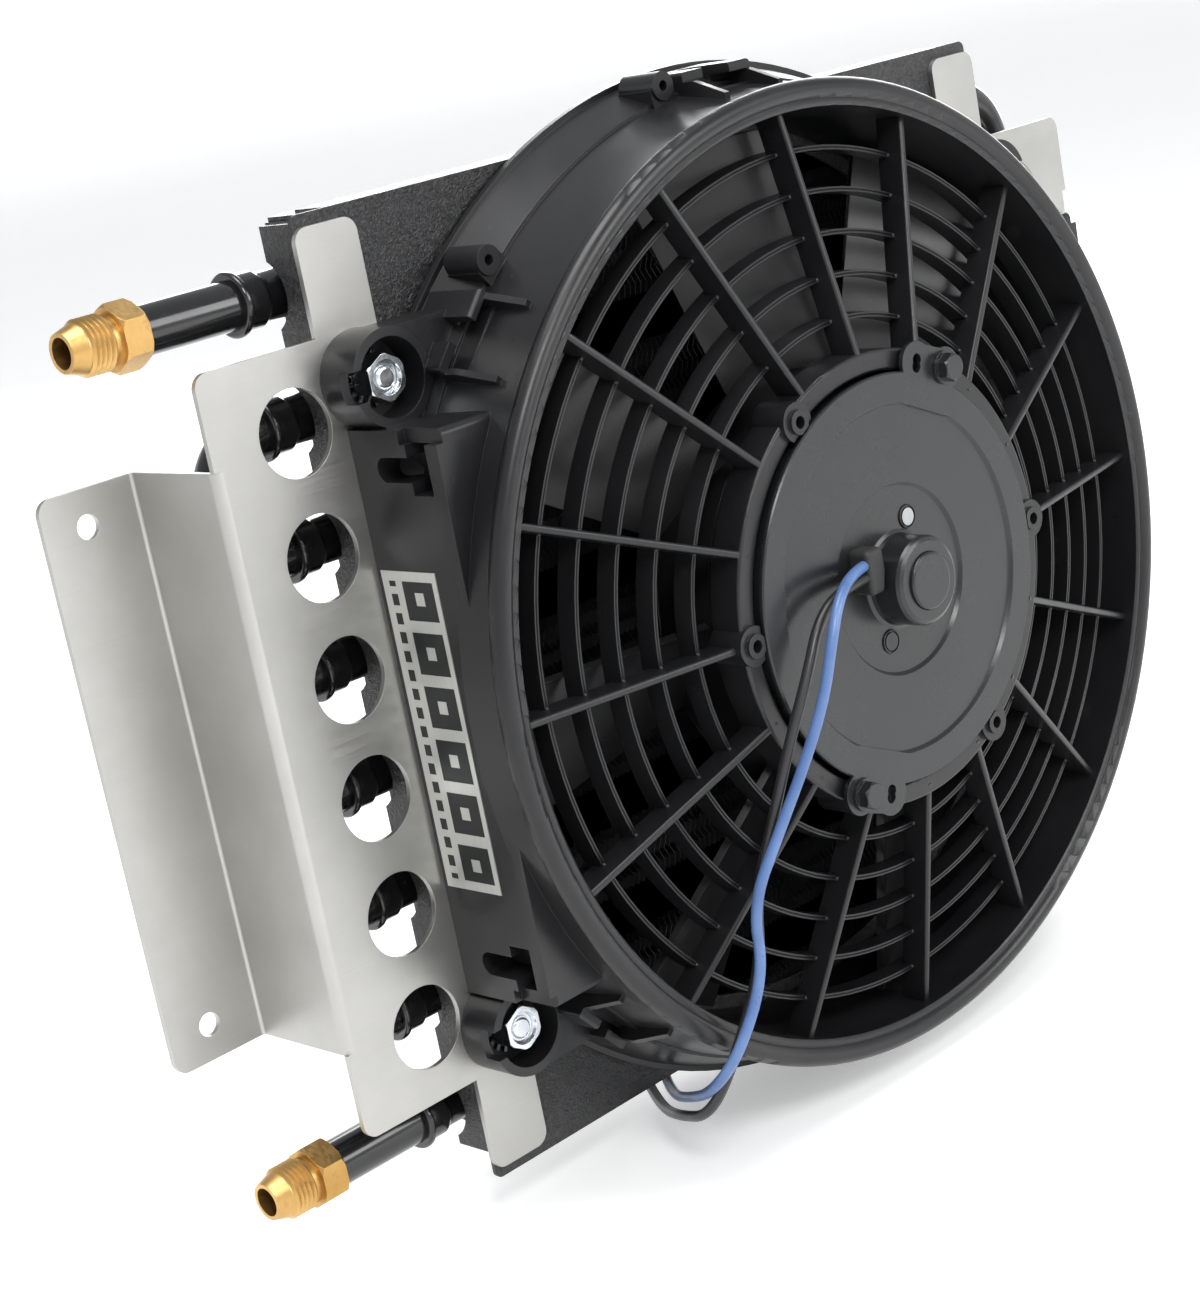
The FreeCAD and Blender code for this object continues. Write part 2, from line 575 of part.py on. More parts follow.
def fan_housing():
    body = spun([(THROAT_R, fan_y(0)), (LIP_R, fan_y(0)), (LIP_R, fan_y(LIP)), (LIP_R - 1.6, fan_y(LIP)),
                 (BAND_TOP_R, fan_y(BAND_DEPTH)), (BAND_TOP_R - 0.8, fan_y(BAND_DEPTH)),
                 (CONE_TOP_R, fan_y(CONE_DEPTH)), (CONE_TOP_R, fan_y(RIM_DEPTH)), (RIM_INNER_R, fan_y(RIM_DEPTH)),
                 (RIM_INNER_R, fan_y(SIDE_WALL_DEPTH)), (THROAT_R, fan_y(SIDE_WALL_DEPTH - 4))])
    keep = joined([cyl_y(LIP_R + 10, fan_y(RIM_DEPTH + 8), fan_y(SIDE_WALL_DEPTH - 4)),
                   box(-SIDE_WALL_X, SIDE_WALL_X, fan_y(SIDE_WALL_DEPTH), fan_y(-1), -LIP_R - 1, LIP_R + 1)])
    body = body.common(keep)
    bead = torus_y(BEAD_R, BEAD_RADIUS, fan_y(RIM_DEPTH - 0.4))
    inner_bead = torus_y(INNER_BEAD_R, INNER_BEAD_RADIUS, fan_y(RIM_DEPTH - 0.4))
    ears = [ear_block(x, z) for x, z in ear_points]
    towers = [clip_tower(a) for a in TOWER_ANGLES]
    posts = [screw_post(a) for a in POST_ANGLES]
    solid = joined([body, bead, inner_bead, side_block(1), side_block(-1)] + ears + towers + posts)
    cuts = [cyl_y(THROAT_R, fan_y(SIDE_WALL_DEPTH - 4), fan_y(-1))]
    cuts += [cyl_y(RIM_INNER_R, fan_y(RIM_DEPTH + 8), fan_y(SIDE_WALL_DEPTH))]
    cuts += [spun([(0, fan_y(SIDE_WALL_DEPTH - 4)), (THROAT_R, fan_y(SIDE_WALL_DEPTH - 4)),
                   (RIM_INNER_R, fan_y(SIDE_WALL_DEPTH)), (0, fan_y(SIDE_WALL_DEPTH))])]
    cuts += [cyl_y(EAR_WELL_R, fan_y(EAR_DEPTH + 1), fan_y(EAR_FLOOR), x, z) for x, z in ear_points]
    cuts += [cyl_y(BOLT_HOLE_R, fan_y(EAR_DEPTH + 1), fan_y(-1), x, z) for x, z in ear_points]
    cuts += [ring_y(BAND_TOP_R - 1.0, THROAT_R + WALL, fan_y(HOLLOW_DEPTH), fan_y(-1)).common(
        box(-110, 110, fan_y(HOLLOW_DEPTH), fan_y(-1), -LIP_R, LIP_R))]
    for sx in (-1, 1):
        for sz in (-1, 1):
            x = sx * (EAR_X + 0.2)
            cuts.append(box(min(x, x + sx * 14), max(x, x + sx * 14), fan_y(EAR_DEPTH + 1), fan_y(EAR_DEPTH - 5),
                            sz * EAR_Z - 4, sz * EAR_Z + 4))
    return solid.cut(cuts)


# ---------------------------------------------------------------- guard
def guard_rib():
    """One rib along +X: a deep plate whose front edge rises towards the hub."""
    r0 = (HUB_RING_OUTER + HUB_RING_INNER) / 2
    r1 = RIM_INNER_R - GUARD_FIT
    points = [(r0, fan_y(rib_front(r0))), (r1, fan_y(rib_front(r1))),
              (r1, fan_y(rib_front(r1) - RIB_HEIGHT)), (r0, fan_y(rib_front(r0) - RIB_HEIGHT))]
    outline = [V(r, y, -RIB_THICK / 2) for r, y in points]
    rib = Part.Face(Part.makePolygon(outline + outline[:1])).extrude(V(0, 0, RIB_THICK))
    rib = rounded(rib, RIB_THICK * 0.4, lambda e: along(e, V(r1 - r0, points[1][1] - points[0][1], 0).normalize())
                  and e.CenterOfMass.y < fan_y((RIB_RIM_DEPTH + rib_hub_depth) / 2 - 2))
    return rib.common(cyl_y(r1, fan_y(rib_hub_depth + 2), fan_y(20)))


def guard_slat(index):
    """One ring slat, slightly thinner at its front edge, which has a shallow groove."""
    r = SLAT_OUTER_R - index * SLAT_PITCH
    front = fan_y(rib_front(r) - SLAT_SETBACK)
    back = front + SLAT_HEIGHT
    half = SLAT_THICK / 2
    groove = SLAT_GROOVE / 2
    return spun([(r - half * 0.8, front), (r - groove, front), (r, front + SLAT_GROOVE_DEPTH), (r + groove, front),
                 (r + half * 0.8, front), (r + half * 1.1, back), (r - half * 1.1, back)])


def fan_guard():
    front = fan_y(rib_hub_depth + 0.4)
    ring = ring_y(HUB_RING_OUTER, HUB_RING_INNER, front, front + HUB_RING_DEPTH)
    ring = rounded(ring, 0.9, lambda e: abs(e.CenterOfMass.y - front) < 0.01 and e.Length > 10)
    slats = [guard_slat(i) for i in range(SLAT_COUNT)]
    ribs = [turned(guard_rib(), i * 360.0 / RIB_COUNT) for i in range(RIB_COUNT)]
    bosses = []
    bores = []
    seat = fan_y(COVER_DEPTH - COVER_THICK)
    for angle in boss_angles:
        x, z = polar(BOSS_PCD_R, angle)
        bosses.append(cyl_y(BOSS_R, seat, front + HUB_RING_DEPTH, x, z))
        if angle % 180 != LUG_ANGLE:
            bosses.append(cyl_y(BOSS_COLLAR_R, seat - BOSS_COLLAR, seat, x, z))
        bores.append(cyl_y(BOSS_BORE_R, fan_y(COVER_DEPTH + 1), front + HUB_RING_DEPTH - 2, x, z))
    guard = joined([ring] + ribs + slats + bosses)
    return guard.cut([cyl_y(HUB_RING_INNER, fan_y(COVER_DEPTH + 1), front + HUB_RING_DEPTH + 1)] + bores)


# ---------------------------------------------------------------- motor
def lug(angle):
    """A cover lug with a bolt hole and a spare oval hole beside it."""
    a0 = angle - 1
    a1 = angle + LUG_SPREAD
    x0, z0 = polar(BOSS_PCD_R, a0)
    x1, z1 = polar(BOSS_PCD_R - 1.0, a1)
    y0 = fan_y(COVER_DEPTH)
    y1 = fan_y(COVER_DEPTH - COVER_THICK)
    corners = [polar(BOSS_PCD_R + LUG_R - 1.0, a0 + 1.5), polar(BOSS_PCD_R + LUG_R - 1.6, a1 - 1.5),
               polar(48, a1 + 8), polar(48, a0 - 8)]
    pads = [cyl_y(LUG_R, y0, y1, x0, z0), cyl_y(LUG_R, y0, y1, x1, z1), prism_y(corners, y0, y1)]
    return joined(pads)


def motor_cover():
    y_front = fan_y(COVER_DEPTH)
    y_back = fan_y(COVER_DEPTH - COVER_THICK)
    disc_front = y_front + COVER_STEP
    disc_back = y_back + COVER_STEP
    hub_front = disc_front + COVER_STEP
    hub_back = disc_back + COVER_STEP
    boss_front = fan_y(cap_boss_depth)
    hub_edge = COVER_HUB_R - COVER_BEVEL
    disc_edge = COVER_DISC_R - COVER_BEVEL
    profile = [(0, hub_back), (hub_edge, hub_back), (COVER_HUB_R, disc_back), (disc_edge, disc_back),
               (COVER_DISC_R, y_back), (COVER_R, y_back), (COVER_R, y_front + 0.4), (COVER_R - 0.4, y_front),
               (COVER_DISC_R, y_front), (disc_edge, disc_front), (COVER_HUB_R, disc_front), (hub_edge, hub_front),
               (CAP_BOSS_R + 1.4, hub_front), (CAP_BOSS_R + 0.4, hub_front - 0.5), (CAP_BOSS_R, hub_front - 1.6),
               (CAP_BOSS_R, boss_front + CAP_BOSS_BEVEL), (CAP_BOSS_R - 0.5, boss_front + 0.5),
               (CAP_BOSS_R - CAP_BOSS_BEVEL, boss_front), (0, boss_front)]
    cover = joined([spun(profile)] + [lug(a) for a in lug_angles])
    cuts = [cyl_y(CAP_R + 0.1, fan_y(cap_boss_depth + 1), fan_y(cap_boss_depth - 2.2)),
            cyl_y(BEARING_R + 0.02, fan_y(cap_boss_depth - 2.2), hub_back + 1)]
    for angle in lug_angles:
        x, z = polar(BOSS_PCD_R, angle)
        cuts.append(cyl_y(1.9, y_front - 1, y_back + 1, x, z))
        for step in (-0.9, 0.9):
            xo, zo = polar(BOSS_PCD_R - 1.0 + step, angle + LUG_SPREAD)
            cuts.append(cyl_y(1.7, y_front - 1, y_back + 1, xo, zo))
    for i in (0, 1):
        x, z = polar(PLUG_PCD_R, PLUG_ANGLE + 180 * i)
        cuts.append(cyl_y(PLUG_R + 0.05, hub_front - 1, hub_back + 1, x, z))
    cuts.append(cyl_y(GROMMET_NECK_R + 0.1, hub_front - 1, hub_back + 1, GROMMET_X, GROMMET_Z))
    cuts.append(cyl_y(MARK_R, hub_front - 1, hub_front + 0.5, MARK_X, MARK_Z))
    return cover.cut(cuts)


def bearing_cap():
    cap = cyl_y(CAP_R, fan_y(cap_depth), fan_y(cap_boss_depth - 2.2))
    return rounded(cap, 0.8, lambda e: abs(e.CenterOfMass.y - fan_y(cap_depth)) < 0.01 and e.Length > 20)


def cover_plug(index):
    x, z = polar(PLUG_PCD_R, PLUG_ANGLE + 180 * index)
    hub_front = fan_y(COVER_DEPTH) + 2 * COVER_STEP
    plug = cyl_y(PLUG_R, hub_front - 0.5, hub_front + COVER_THICK, x, z)
    plug = rounded(plug, 0.2, lambda e: abs(e.CenterOfMass.y - hub_front + 0.5) < 0.01 and e.Length > 10)
    return plug.cut(ring_y(PLUG_GROOVE_R + 0.5, PLUG_GROOVE_R, hub_front - 1, hub_front + 0.1, x, z))


def cover_bolt(angle):
    """A hexagon flange screw that holds the motor to a guard boss."""
    x, z = polar(BOSS_PCD_R, angle)
    seat = fan_y(COVER_DEPTH)
    flange = cyl_y(4.6, seat - 0.9, seat, x, z)
    head = hexagon_y(7.0, seat - 4.2, seat - 0.9, x, z)
    head = head.common(Part.makeSphere(5.2, V(x, seat - 0.2, z)))
    shank = cyl_y(BOSS_BORE_R - 0.05, seat, seat + 9.0, x, z)
    return joined([flange, head, shank])


def wire_grommet():
    """A rubber block with rounded corners on a round neck; the two wires leave its outer side."""
    hub_front = fan_y(COVER_DEPTH) + 2 * COVER_STEP
    w = GROMMET_HALF_WIDTH
    h = GROMMET_HALF_HEIGHT
    block = box(GROMMET_X - w, GROMMET_X + w, hub_front - GROMMET_DEPTH, hub_front, GROMMET_Z - h, GROMMET_Z + h)
    block = rounded(block, GROMMET_CORNER_R, lambda e: e.CenterOfMass.y < hub_front - 0.1)
    neck = cyl_y(GROMMET_NECK_R, hub_front, hub_front + COVER_THICK - 0.1, GROMMET_X, GROMMET_Z)
    clear = cyl_y(CAP_BOSS_R + 1.45, fan_y(cap_depth), hub_front)
    return joined([block, neck]).cut(clear)


def motor_can():
    y0 = fan_y(COVER_DEPTH - COVER_THICK)
    y1 = y0 + CAN_LENGTH
    shell = cyl_y(CAN_R, y0, y1)
    shell = rounded(shell, 3.0, lambda e: abs(e.CenterOfMass.y - y1) < 0.01 and e.Length > 20)
    inside = cyl_y(CAN_R - CAN_WALL, y0 - 1, y1 - CAN_WALL)
    boss = cyl_y(BEARING_R + 2.0, y1 - CAN_WALL, rear_bearing_y + BEARING_LENGTH + 1.0)
    can = joined([shell.cut(inside), boss])
    can = can.cut([cyl_y(BEARING_R + 0.02, y1 - CAN_WALL - 1, rear_bearing_y + BEARING_LENGTH),
                   cyl_y(SHAFT_R + 1, y0, y1 + 9)])
    vents = [cyl_y(3.0, y1 - 5, y1 + 1, *polar(32, 45 + 90 * i)) for i in range(4)]
    return can.cut(vents)


def magnets():
    y0 = fan_y(COVER_DEPTH - COVER_THICK) + 6.6
    outer = CAN_R - CAN_WALL - 0.02
    ring = ring_y(outer, outer - MAGNET_THICK, y0, y0 + MAGNET_LENGTH)
    reach = CAN_R + 5
    step = 360.0 / MAGNET_COUNT
    half = step / 2 - 3
    pieces = []
    for i in range(MAGNET_COUNT):
        points = [(0, 0), polar(reach, i * step - half), polar(reach * 1.15, i * step), polar(reach, i * step + half)]
        pieces.append(ring.common(prism_y(points, y0 - 1, y0 + MAGNET_LENGTH + 1)))
    return Part.makeCompound(pieces)


armature_r = CAN_R - CAN_WALL - MAGNET_THICK - AIR_GAP
armature_front = fan_y(COVER_DEPTH - COVER_THICK) + 10.4


def armature_core():
    """Laminated rotor with winding slots, pressed on the shaft."""
    disc = ring_y(armature_r, SHAFT_R + 0.01, armature_front, armature_front + ARMATURE_LENGTH)
    slots = [cyl_y(3.4, armature_front - 1, armature_front + ARMATURE_LENGTH + 1, *polar(armature_r - 6.0, 30 * i))
             for i in range(12)]
    mouths = [turned(box(armature_r - 6, armature_r + 1, armature_front - 1, armature_front + ARMATURE_LENGTH + 1,
                         -1.0, 1.0), 30 * i) for i in range(12)]
    return disc.cut(slots + mouths)


def windings():
    """Copper end turns in front of and behind the rotor, joined through its slots."""
    back = armature_front + ARMATURE_LENGTH
    ends = [ring_y(armature_r - 3.5, COMMUTATOR_R + 4, armature_front - 1.6, armature_front),
            ring_y(armature_r - 3.5, COMMUTATOR_R + 4, back, back + 1.2)]
    bars = [cyl_y(2.6, armature_front, back, *polar(armature_r - 6.2, 30 * i)) for i in range(12)]
    return joined(ends + bars)


def commutator():
    front = armature_front - 2.0 - COMMUTATOR_LENGTH
    ring = ring_y(COMMUTATOR_R, SHAFT_R + 0.01, front, front + COMMUTATOR_LENGTH)
    gaps = [turned(box(COMMUTATOR_R - 1.2, COMMUTATOR_R + 1, front - 1, front + COMMUTATOR_LENGTH + 1, -0.3, 0.3),
                   30 * i + 15) for i in range(12)]
    return ring.cut(gaps)


def brush_pair():
    front = armature_front - 2.0 - COMMUTATOR_LENGTH
    block = box(COMMUTATOR_R + 0.35, COMMUTATOR_R + 9.0, front + 0.6, front + COMMUTATOR_LENGTH - 0.6, -3, 3)
    return Part.makeCompound([turned(block, 0), turned(block, 180)])


def brush_springs():
    """Coil springs behind the brushes, drawn as their outer sleeves."""
    front = armature_front - 2.0 - COMMUTATOR_LENGTH / 2
    sleeve = pipe_x(1.7, 1.1, COMMUTATOR_R + 9.0, COMMUTATOR_R + 17.0, front, 0)
    return Part.makeCompound([turned(sleeve, 0), turned(sleeve, 180)])


def brush_card():
    """The insulating plate behind the cover, with walls round the brushes."""
    y0 = fan_y(COVER_DEPTH - COVER_THICK) + 2 * COVER_STEP
    card = ring_y(44.0, COMMUTATOR_R + 3.0, y0, y0 + 0.9)
    stop = box(COMMUTATOR_R + 17.0, COMMUTATOR_R + 18.6, y0 + 0.9, y0 + 4.0, -4, 4)
    feet = [turned(stop, 0), turned(stop, 180)]
    return joined([card] + feet)


def bearing(y0):
    return ring_y(BEARING_R, SHAFT_R + RUNNING_GAP, y0, y0 + BEARING_LENGTH)


front_bearing_y = fan_y(cap_boss_depth - 2.4)
rear_bearing_y = fan_y(COVER_DEPTH - COVER_THICK) + CAN_LENGTH - CAN_WALL
clip_y = fan_y(wheel_back_depth) + 2.2


def motor_shaft():
    y0 = front_bearing_y + 0.3
    shaft = cyl_y(SHAFT_R, y0, clip_y + 3.0)
    shaft = rounded(shaft, 0.6, lambda e: abs(e.CenterOfMass.y - clip_y - 3.0) < 0.01 and e.Length > 10)
    return shaft.cut(ring_y(SHAFT_R + 1, SHAFT_R - 0.6, clip_y, clip_y + 1.0))


def hub_clip():
    ring = ring_y(SHAFT_R + 3.2, SHAFT_R - 0.55, clip_y + 0.03, clip_y + 0.97)
    return ring.cut(box(-20, 0, clip_y - 1, clip_y + 2, -2.6, 2.6))


# ---------------------------------------------------------------- impeller
def blade_section(radius, depth, chord, pitch):
    """A thin rectangle square to a radius, tilted by the blade's pitch."""
    along_chord = V(0, math.sin(math.radians(pitch)), math.cos(math.radians(pitch)))
    across = V(0, math.cos(math.radians(pitch)), -math.sin(math.radians(pitch)))
    centre = V(radius, fan_y(depth), 0)
    a = along_chord * (chord / 2)
    b = across * (BLADE_THICK / 2)
    corners = [centre - a - b, centre + a - b, centre + a + b, centre - a + b]
    return Part.makePolygon(corners + corners[:1])


def blade():
    root = blade_section(WHEEL_R - 1.5, blade_root_depth, BLADE_ROOT_CHORD, BLADE_ROOT_PITCH)
    tip = blade_section(BLADE_TIP_R + 4, BLADE_TIP_DEPTH, BLADE_TIP_CHORD, BLADE_TIP_PITCH)
    loft = Part.makeLoft([root, tip], True, True)
    return loft.common(cyl_y(BLADE_TIP_R, fan_y(60), fan_y(0)))


def impeller():
    y_front = fan_y(wheel_front_depth)
    y_back = fan_y(wheel_back_depth)
    cup = cyl_y(WHEEL_R, y_front, y_back)
    cup = rounded(cup, 2.0, lambda e: abs(e.CenterOfMass.y - y_back) < 0.01 and e.Length > 20)
    blades = [turned(blade(), BLADE_PHASE + i * 360.0 / BLADE_COUNT) for i in range(BLADE_COUNT)]
    boss = cyl_y(9.0, y_back - 2.4, y_back + 2.2)
    wheel = joined([cup] + blades)
    wheel = wheel.cut(cyl_y(WHEEL_R - WHEEL_WALL, y_front - 30, y_back - 2.2))
    wheel = joined([wheel, boss])
    return wheel.cut(cyl_y(SHAFT_R + 0.01, y_front - 30, y_back + 5))


# ---------------------------------------------------------------- label
def label_plate():
    x = -SIDE_WALL_X
    return box(x - 0.25, x, fan_y(22.5), fan_y(1.6), -45.5, 40.0)


# ---------------------------------------------------------------- wires
def route_tube(points, diameter, name):
    """A tube on straight runs joined by tangent arcs, each as large as its runs allow."""
    edges = []
    start = points[0]
    length = 0.0
    smallest = 1e9
    for i in range(1, len(points) - 1):
        before = (points[i - 1] - points[i])
        after = (points[i + 1] - points[i])
        short = min(before.Length, after.Length)
        u = before.normalize()
        w = after.normalize()
        turn = math.pi - u.getAngle(w)
        cut_back = 0.45 * short
        radius = cut_back / math.tan(turn / 2)
        smallest = min(smallest, radius)
        a = points[i] + u * cut_back
        b = points[i] + w * cut_back
        bisector = (u + w).normalize()
        centre = points[i] + bisector * math.hypot(radius, cut_back)
        middle = centre - bisector * radius
        edges.append(Part.LineSegment(start, a).toShape())
        edges.append(Part.Arc(a, middle, b).toShape())
        length += (a - start).Length + radius * turn
        start = b
    edges.append(Part.LineSegment(start, points[-1]).toShape())
    length += (points[-1] - start).Length
    wire = Part.Wire(edges)
    direction = (points[1] - points[0]).normalize()
    section = Part.Wire(Part.makeCircle(diameter / 2, points[0], direction))
    tube = wire.makePipeShell([section], True, True)
    solid = Part.Solid(tube) if tube.ShapeType != "Solid" else tube
    print("%s: length %.1f, smallest radius %.1f, volume ratio %.4f"
          % (name, length, smallest, solid.Volume / (math.pi * diameter ** 2 / 4 * length)))
    return solid


BLUE_ROUTE = [V(-18.2, -97.0, 9.2), V(-27.6, -100.6, 9.9), V(-37.9, -104.2, 6.2), V(-44.8, -105.5, -4.0),
              V(-49.5, -104.5, -16.5), V(-57.5, -102.0, -31.0), V(-68.0, -98.5, -47.0), V(-79.2, -95.0, -64.0),
              V(-78.0, -93.5, -84.0), V(-91.0, -92.5, -101.5), V(-92.5, -80.5, -114.5), V(-79.5, -57.0, -126.5),
              V(-67.5, -37.0, -135.2), V(-53.0, -17.5, -134.4), V(-20.0, -17.5, -134.4), V(-2.0, -18.5, -137.0),
              V(18.0, -17.5, -134.4), V(52.0, -17.5, -134.4), V(69.5, -14.0, -137.5), V(86.0, -12.5, -136.5)]
BLACK_ROUTE = [V(-18.2, -97.0, 5.9), V(-30.0, -98.6, 6.6), V(-41.5, -99.4, 1.5), V(-50.0, -100.4, -10.5),
               V(-59.3, -98.6, -26.5), V(-66.8, -95.5, -45.0), V(-74.0, -91.5, -64.0), V(-73.0, -88.0, -83.5),
               V(-84.5, -86.5, -102.5), V(-90.0, -76.5, -123.0), V(-83.5, -56.5, -130.4), V(-74.0, -38.5, -135.6),
               V(-57.0, -12.5, -134.4), V(-22.0, -12.5, -134.4), V(-4.0, -11.5, -137.0), V(16.0, -12.5, -134.4),
               V(50.0, -12.5, -134.4), V(66.5, -7.5, -136.8), V(81.5, -4.0, -135.2)]
CLIP_X = (-37.0, 35.0)


def wire_clips():
    """Two nylon saddles under the bottom rail, each bored for both wires."""
    blocks = []
    for x in CLIP_X:
        block = box(x - 4, x + 4, -21.5, -8.5, -FIN_HALF_HEIGHT - SHEET - 9.0, -FIN_HALF_HEIGHT - SHEET)
        block = rounded(block, 1.5, lambda e: along(e, V(1, 0, 0)) and e.CenterOfMass.z < -FIN_HALF_HEIGHT - SHEET - 1)
        blocks.append(block.cut([cyl_x(WIRE_OD / 2, x - 5, x + 5, y, -134.4) for y in (-17.5, -12.5)]))
    return Part.makeCompound(blocks)


def terminal(route):
    """An insulated push-on terminal in line with the end of a wire."""
    end = route[-1]
    way = (route[-1] - route[-2]).normalize()
    sleeve = Part.makeCylinder(TERMINAL_R, TERMINAL_LENGTH * 0.45, end, way)
    flat = Part.makeBox(TERMINAL_LENGTH * 0.55, 7.0, 3.2, V(0, -3.5, -1.6))
    turn = FreeCAD.Rotation(V(1, 0, 0), way)
    flat.Placement = FreeCAD.Placement(end + way * (TERMINAL_LENGTH * 0.45), turn)
    mouth = Part.makeBox(TERMINAL_LENGTH * 0.45, 5.4, 1.4, V(TERMINAL_LENGTH * 0.15, -2.7, -0.7))
    mouth.Placement = flat.Placement
    return joined([sleeve, flat]).cut(mouth)


# ---------------------------------------------------------------- build
def build():
    save("fin_pack", fin_pack())
    save("right_tube_sheet", tube_sheet())
    save("left_tube_sheet", mirrored(tube_sheet()))
    save("top_core_rail", core_rail(1))
    save("bottom_core_rail", core_rail(-1))
    save("front_plate", front_plate())
    for i in range(TUBE_COUNT // 2):
        save("hairpin_tube_%d" % (i + 1), hairpin(2 * i, 2 * i + 1))
    for i in range(TUBE_COUNT // 2 - 1):
        save("return_bend_%d" % (i + 1), return_bend(2 * i + 1, 2 * i + 2))
    save("inlet_tube", port_tube(0))
    save("outlet_tube", port_tube(TUBE_COUNT - 1))
    save("inlet_fitting", port_fitting(0))
    save("outlet_fitting", port_fitting(TUBE_COUNT - 1))
    save("right_bracket", bracket())
    save("left_bracket", mirrored(bracket()))
    save("ear_bolts", at_ears(ear_bolt))
    save("ear_washers", at_ears(ear_washer))
    save("ear_nuts", at_ears(ear_nut))
    save("fan_housing", fan_housing())
    save("fan_guard", fan_guard())
    save("label_plate", label_plate())
    save("motor_cover", motor_cover())
    save("bearing_cap", bearing_cap())
    save("cover_plugs", Part.makeCompound([cover_plug(0), cover_plug(1)]))
    save("cover_bolts", Part.makeCompound([cover_bolt(a) for a in lug_angles]))
    save("wire_grommet", wire_grommet())
    save("motor_can", motor_can())
    save("magnets", magnets())
    save("armature_core", armature_core())
    save("windings", windings())
    save("commutator", commutator())
    save("brushes", brush_pair())
    save("brush_springs", brush_springs())
    save("brush_card", brush_card())
    save("front_bearing", bearing(front_bearing_y))
    save("rear_bearing", bearing(rear_bearing_y))
    save("motor_shaft", motor_shaft())
    save("hub_clip", hub_clip())
    save("impeller", impeller())
    save("wire_blue", route_tube(BLUE_ROUTE, WIRE_OD, "wire_blue"))
    save("wire_black", route_tube(BLACK_ROUTE, WIRE_OD, "wire_black"))
    save("terminal_blue", terminal(BLUE_ROUTE))
    save("terminal_black", terminal(BLACK_ROUTE))
    save("wire_clips", wire_clips())


build()
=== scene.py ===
# %% [markdown]
# # Hydraulic oil cooler: looks
# The CAD frame gives every solid its place. This notebook adds the camera, the light, the
# procedural finishes, and finer pieces for the fins, wires, washers and small guard details.
# All lengths are metres in the frame's own axes: +X right, +Y away from the fan, +Z up.

# %% Load the frame
import bpy
import bmesh
import json
import math
from mathutils import Matrix, Vector


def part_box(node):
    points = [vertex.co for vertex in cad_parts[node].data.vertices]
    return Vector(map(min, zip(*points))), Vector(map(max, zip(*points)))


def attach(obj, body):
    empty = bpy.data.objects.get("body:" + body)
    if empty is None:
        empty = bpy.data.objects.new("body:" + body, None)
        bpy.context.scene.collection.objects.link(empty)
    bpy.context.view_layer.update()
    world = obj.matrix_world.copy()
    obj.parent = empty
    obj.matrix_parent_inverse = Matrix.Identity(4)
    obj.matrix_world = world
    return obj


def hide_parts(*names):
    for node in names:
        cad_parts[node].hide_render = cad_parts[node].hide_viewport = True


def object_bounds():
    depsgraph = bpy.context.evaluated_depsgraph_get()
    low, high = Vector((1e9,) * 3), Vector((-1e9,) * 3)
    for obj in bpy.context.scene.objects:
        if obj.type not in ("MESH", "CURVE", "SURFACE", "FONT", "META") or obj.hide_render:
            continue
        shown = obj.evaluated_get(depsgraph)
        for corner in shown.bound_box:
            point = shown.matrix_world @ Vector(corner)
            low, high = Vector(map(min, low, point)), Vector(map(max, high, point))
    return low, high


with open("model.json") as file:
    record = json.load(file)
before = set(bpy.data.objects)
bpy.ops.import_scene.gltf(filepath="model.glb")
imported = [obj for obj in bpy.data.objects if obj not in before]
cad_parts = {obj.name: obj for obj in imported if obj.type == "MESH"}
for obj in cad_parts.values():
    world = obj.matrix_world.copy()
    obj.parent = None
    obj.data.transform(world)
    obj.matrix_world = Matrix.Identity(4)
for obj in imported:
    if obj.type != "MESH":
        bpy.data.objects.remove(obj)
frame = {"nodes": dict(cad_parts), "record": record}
size_at_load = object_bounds()
nodes = frame["nodes"]
MM = 0.001
print("CAD nodes:", len(nodes))

# %% [markdown]
# ## Camera
# It stands to the front left of the fan and a little above it, and looks at the cooler's middle.

# %% Camera
CAMERA_AT = Vector((-0.5227, -0.5543, 0.1794))
CAMERA_LOOK = Vector((0.6425, 0.7223, -0.2559)).normalized()
CAMERA_UP = Vector((0.3095, 0.0609, 0.9489)).normalized()
LENS_MM = 78.83


def make_camera():
    data = bpy.data.cameras.new("view_camera")
    data.sensor_fit = "HORIZONTAL"
    data.sensor_width = 36.0
    data.lens = LENS_MM
    data.clip_start = 0.01
    camera = bpy.data.objects.new("view_camera", data)
    right = CAMERA_LOOK.cross(CAMERA_UP).normalized()
    up = right.cross(CAMERA_LOOK).normalized()
    turn = Matrix((right, up, -CAMERA_LOOK)).transposed().to_4x4()
    camera.matrix_world = Matrix.Translation(CAMERA_AT) @ turn
    bpy.context.scene.collection.objects.link(camera)
    bpy.context.scene.camera = camera
    return camera


camera = make_camera()
print("camera at", tuple(round(v, 3) for v in CAMERA_AT))

# %% [markdown]
# ## Wires
# Two loose wires leave the grommet, hang in front of the guard and go under the core, where two
# saddles hold them. Each is one smooth curve. Blender counts a point's radius in a curve's box, so
# the thickness is given as that radius, and the bevel depth is one.

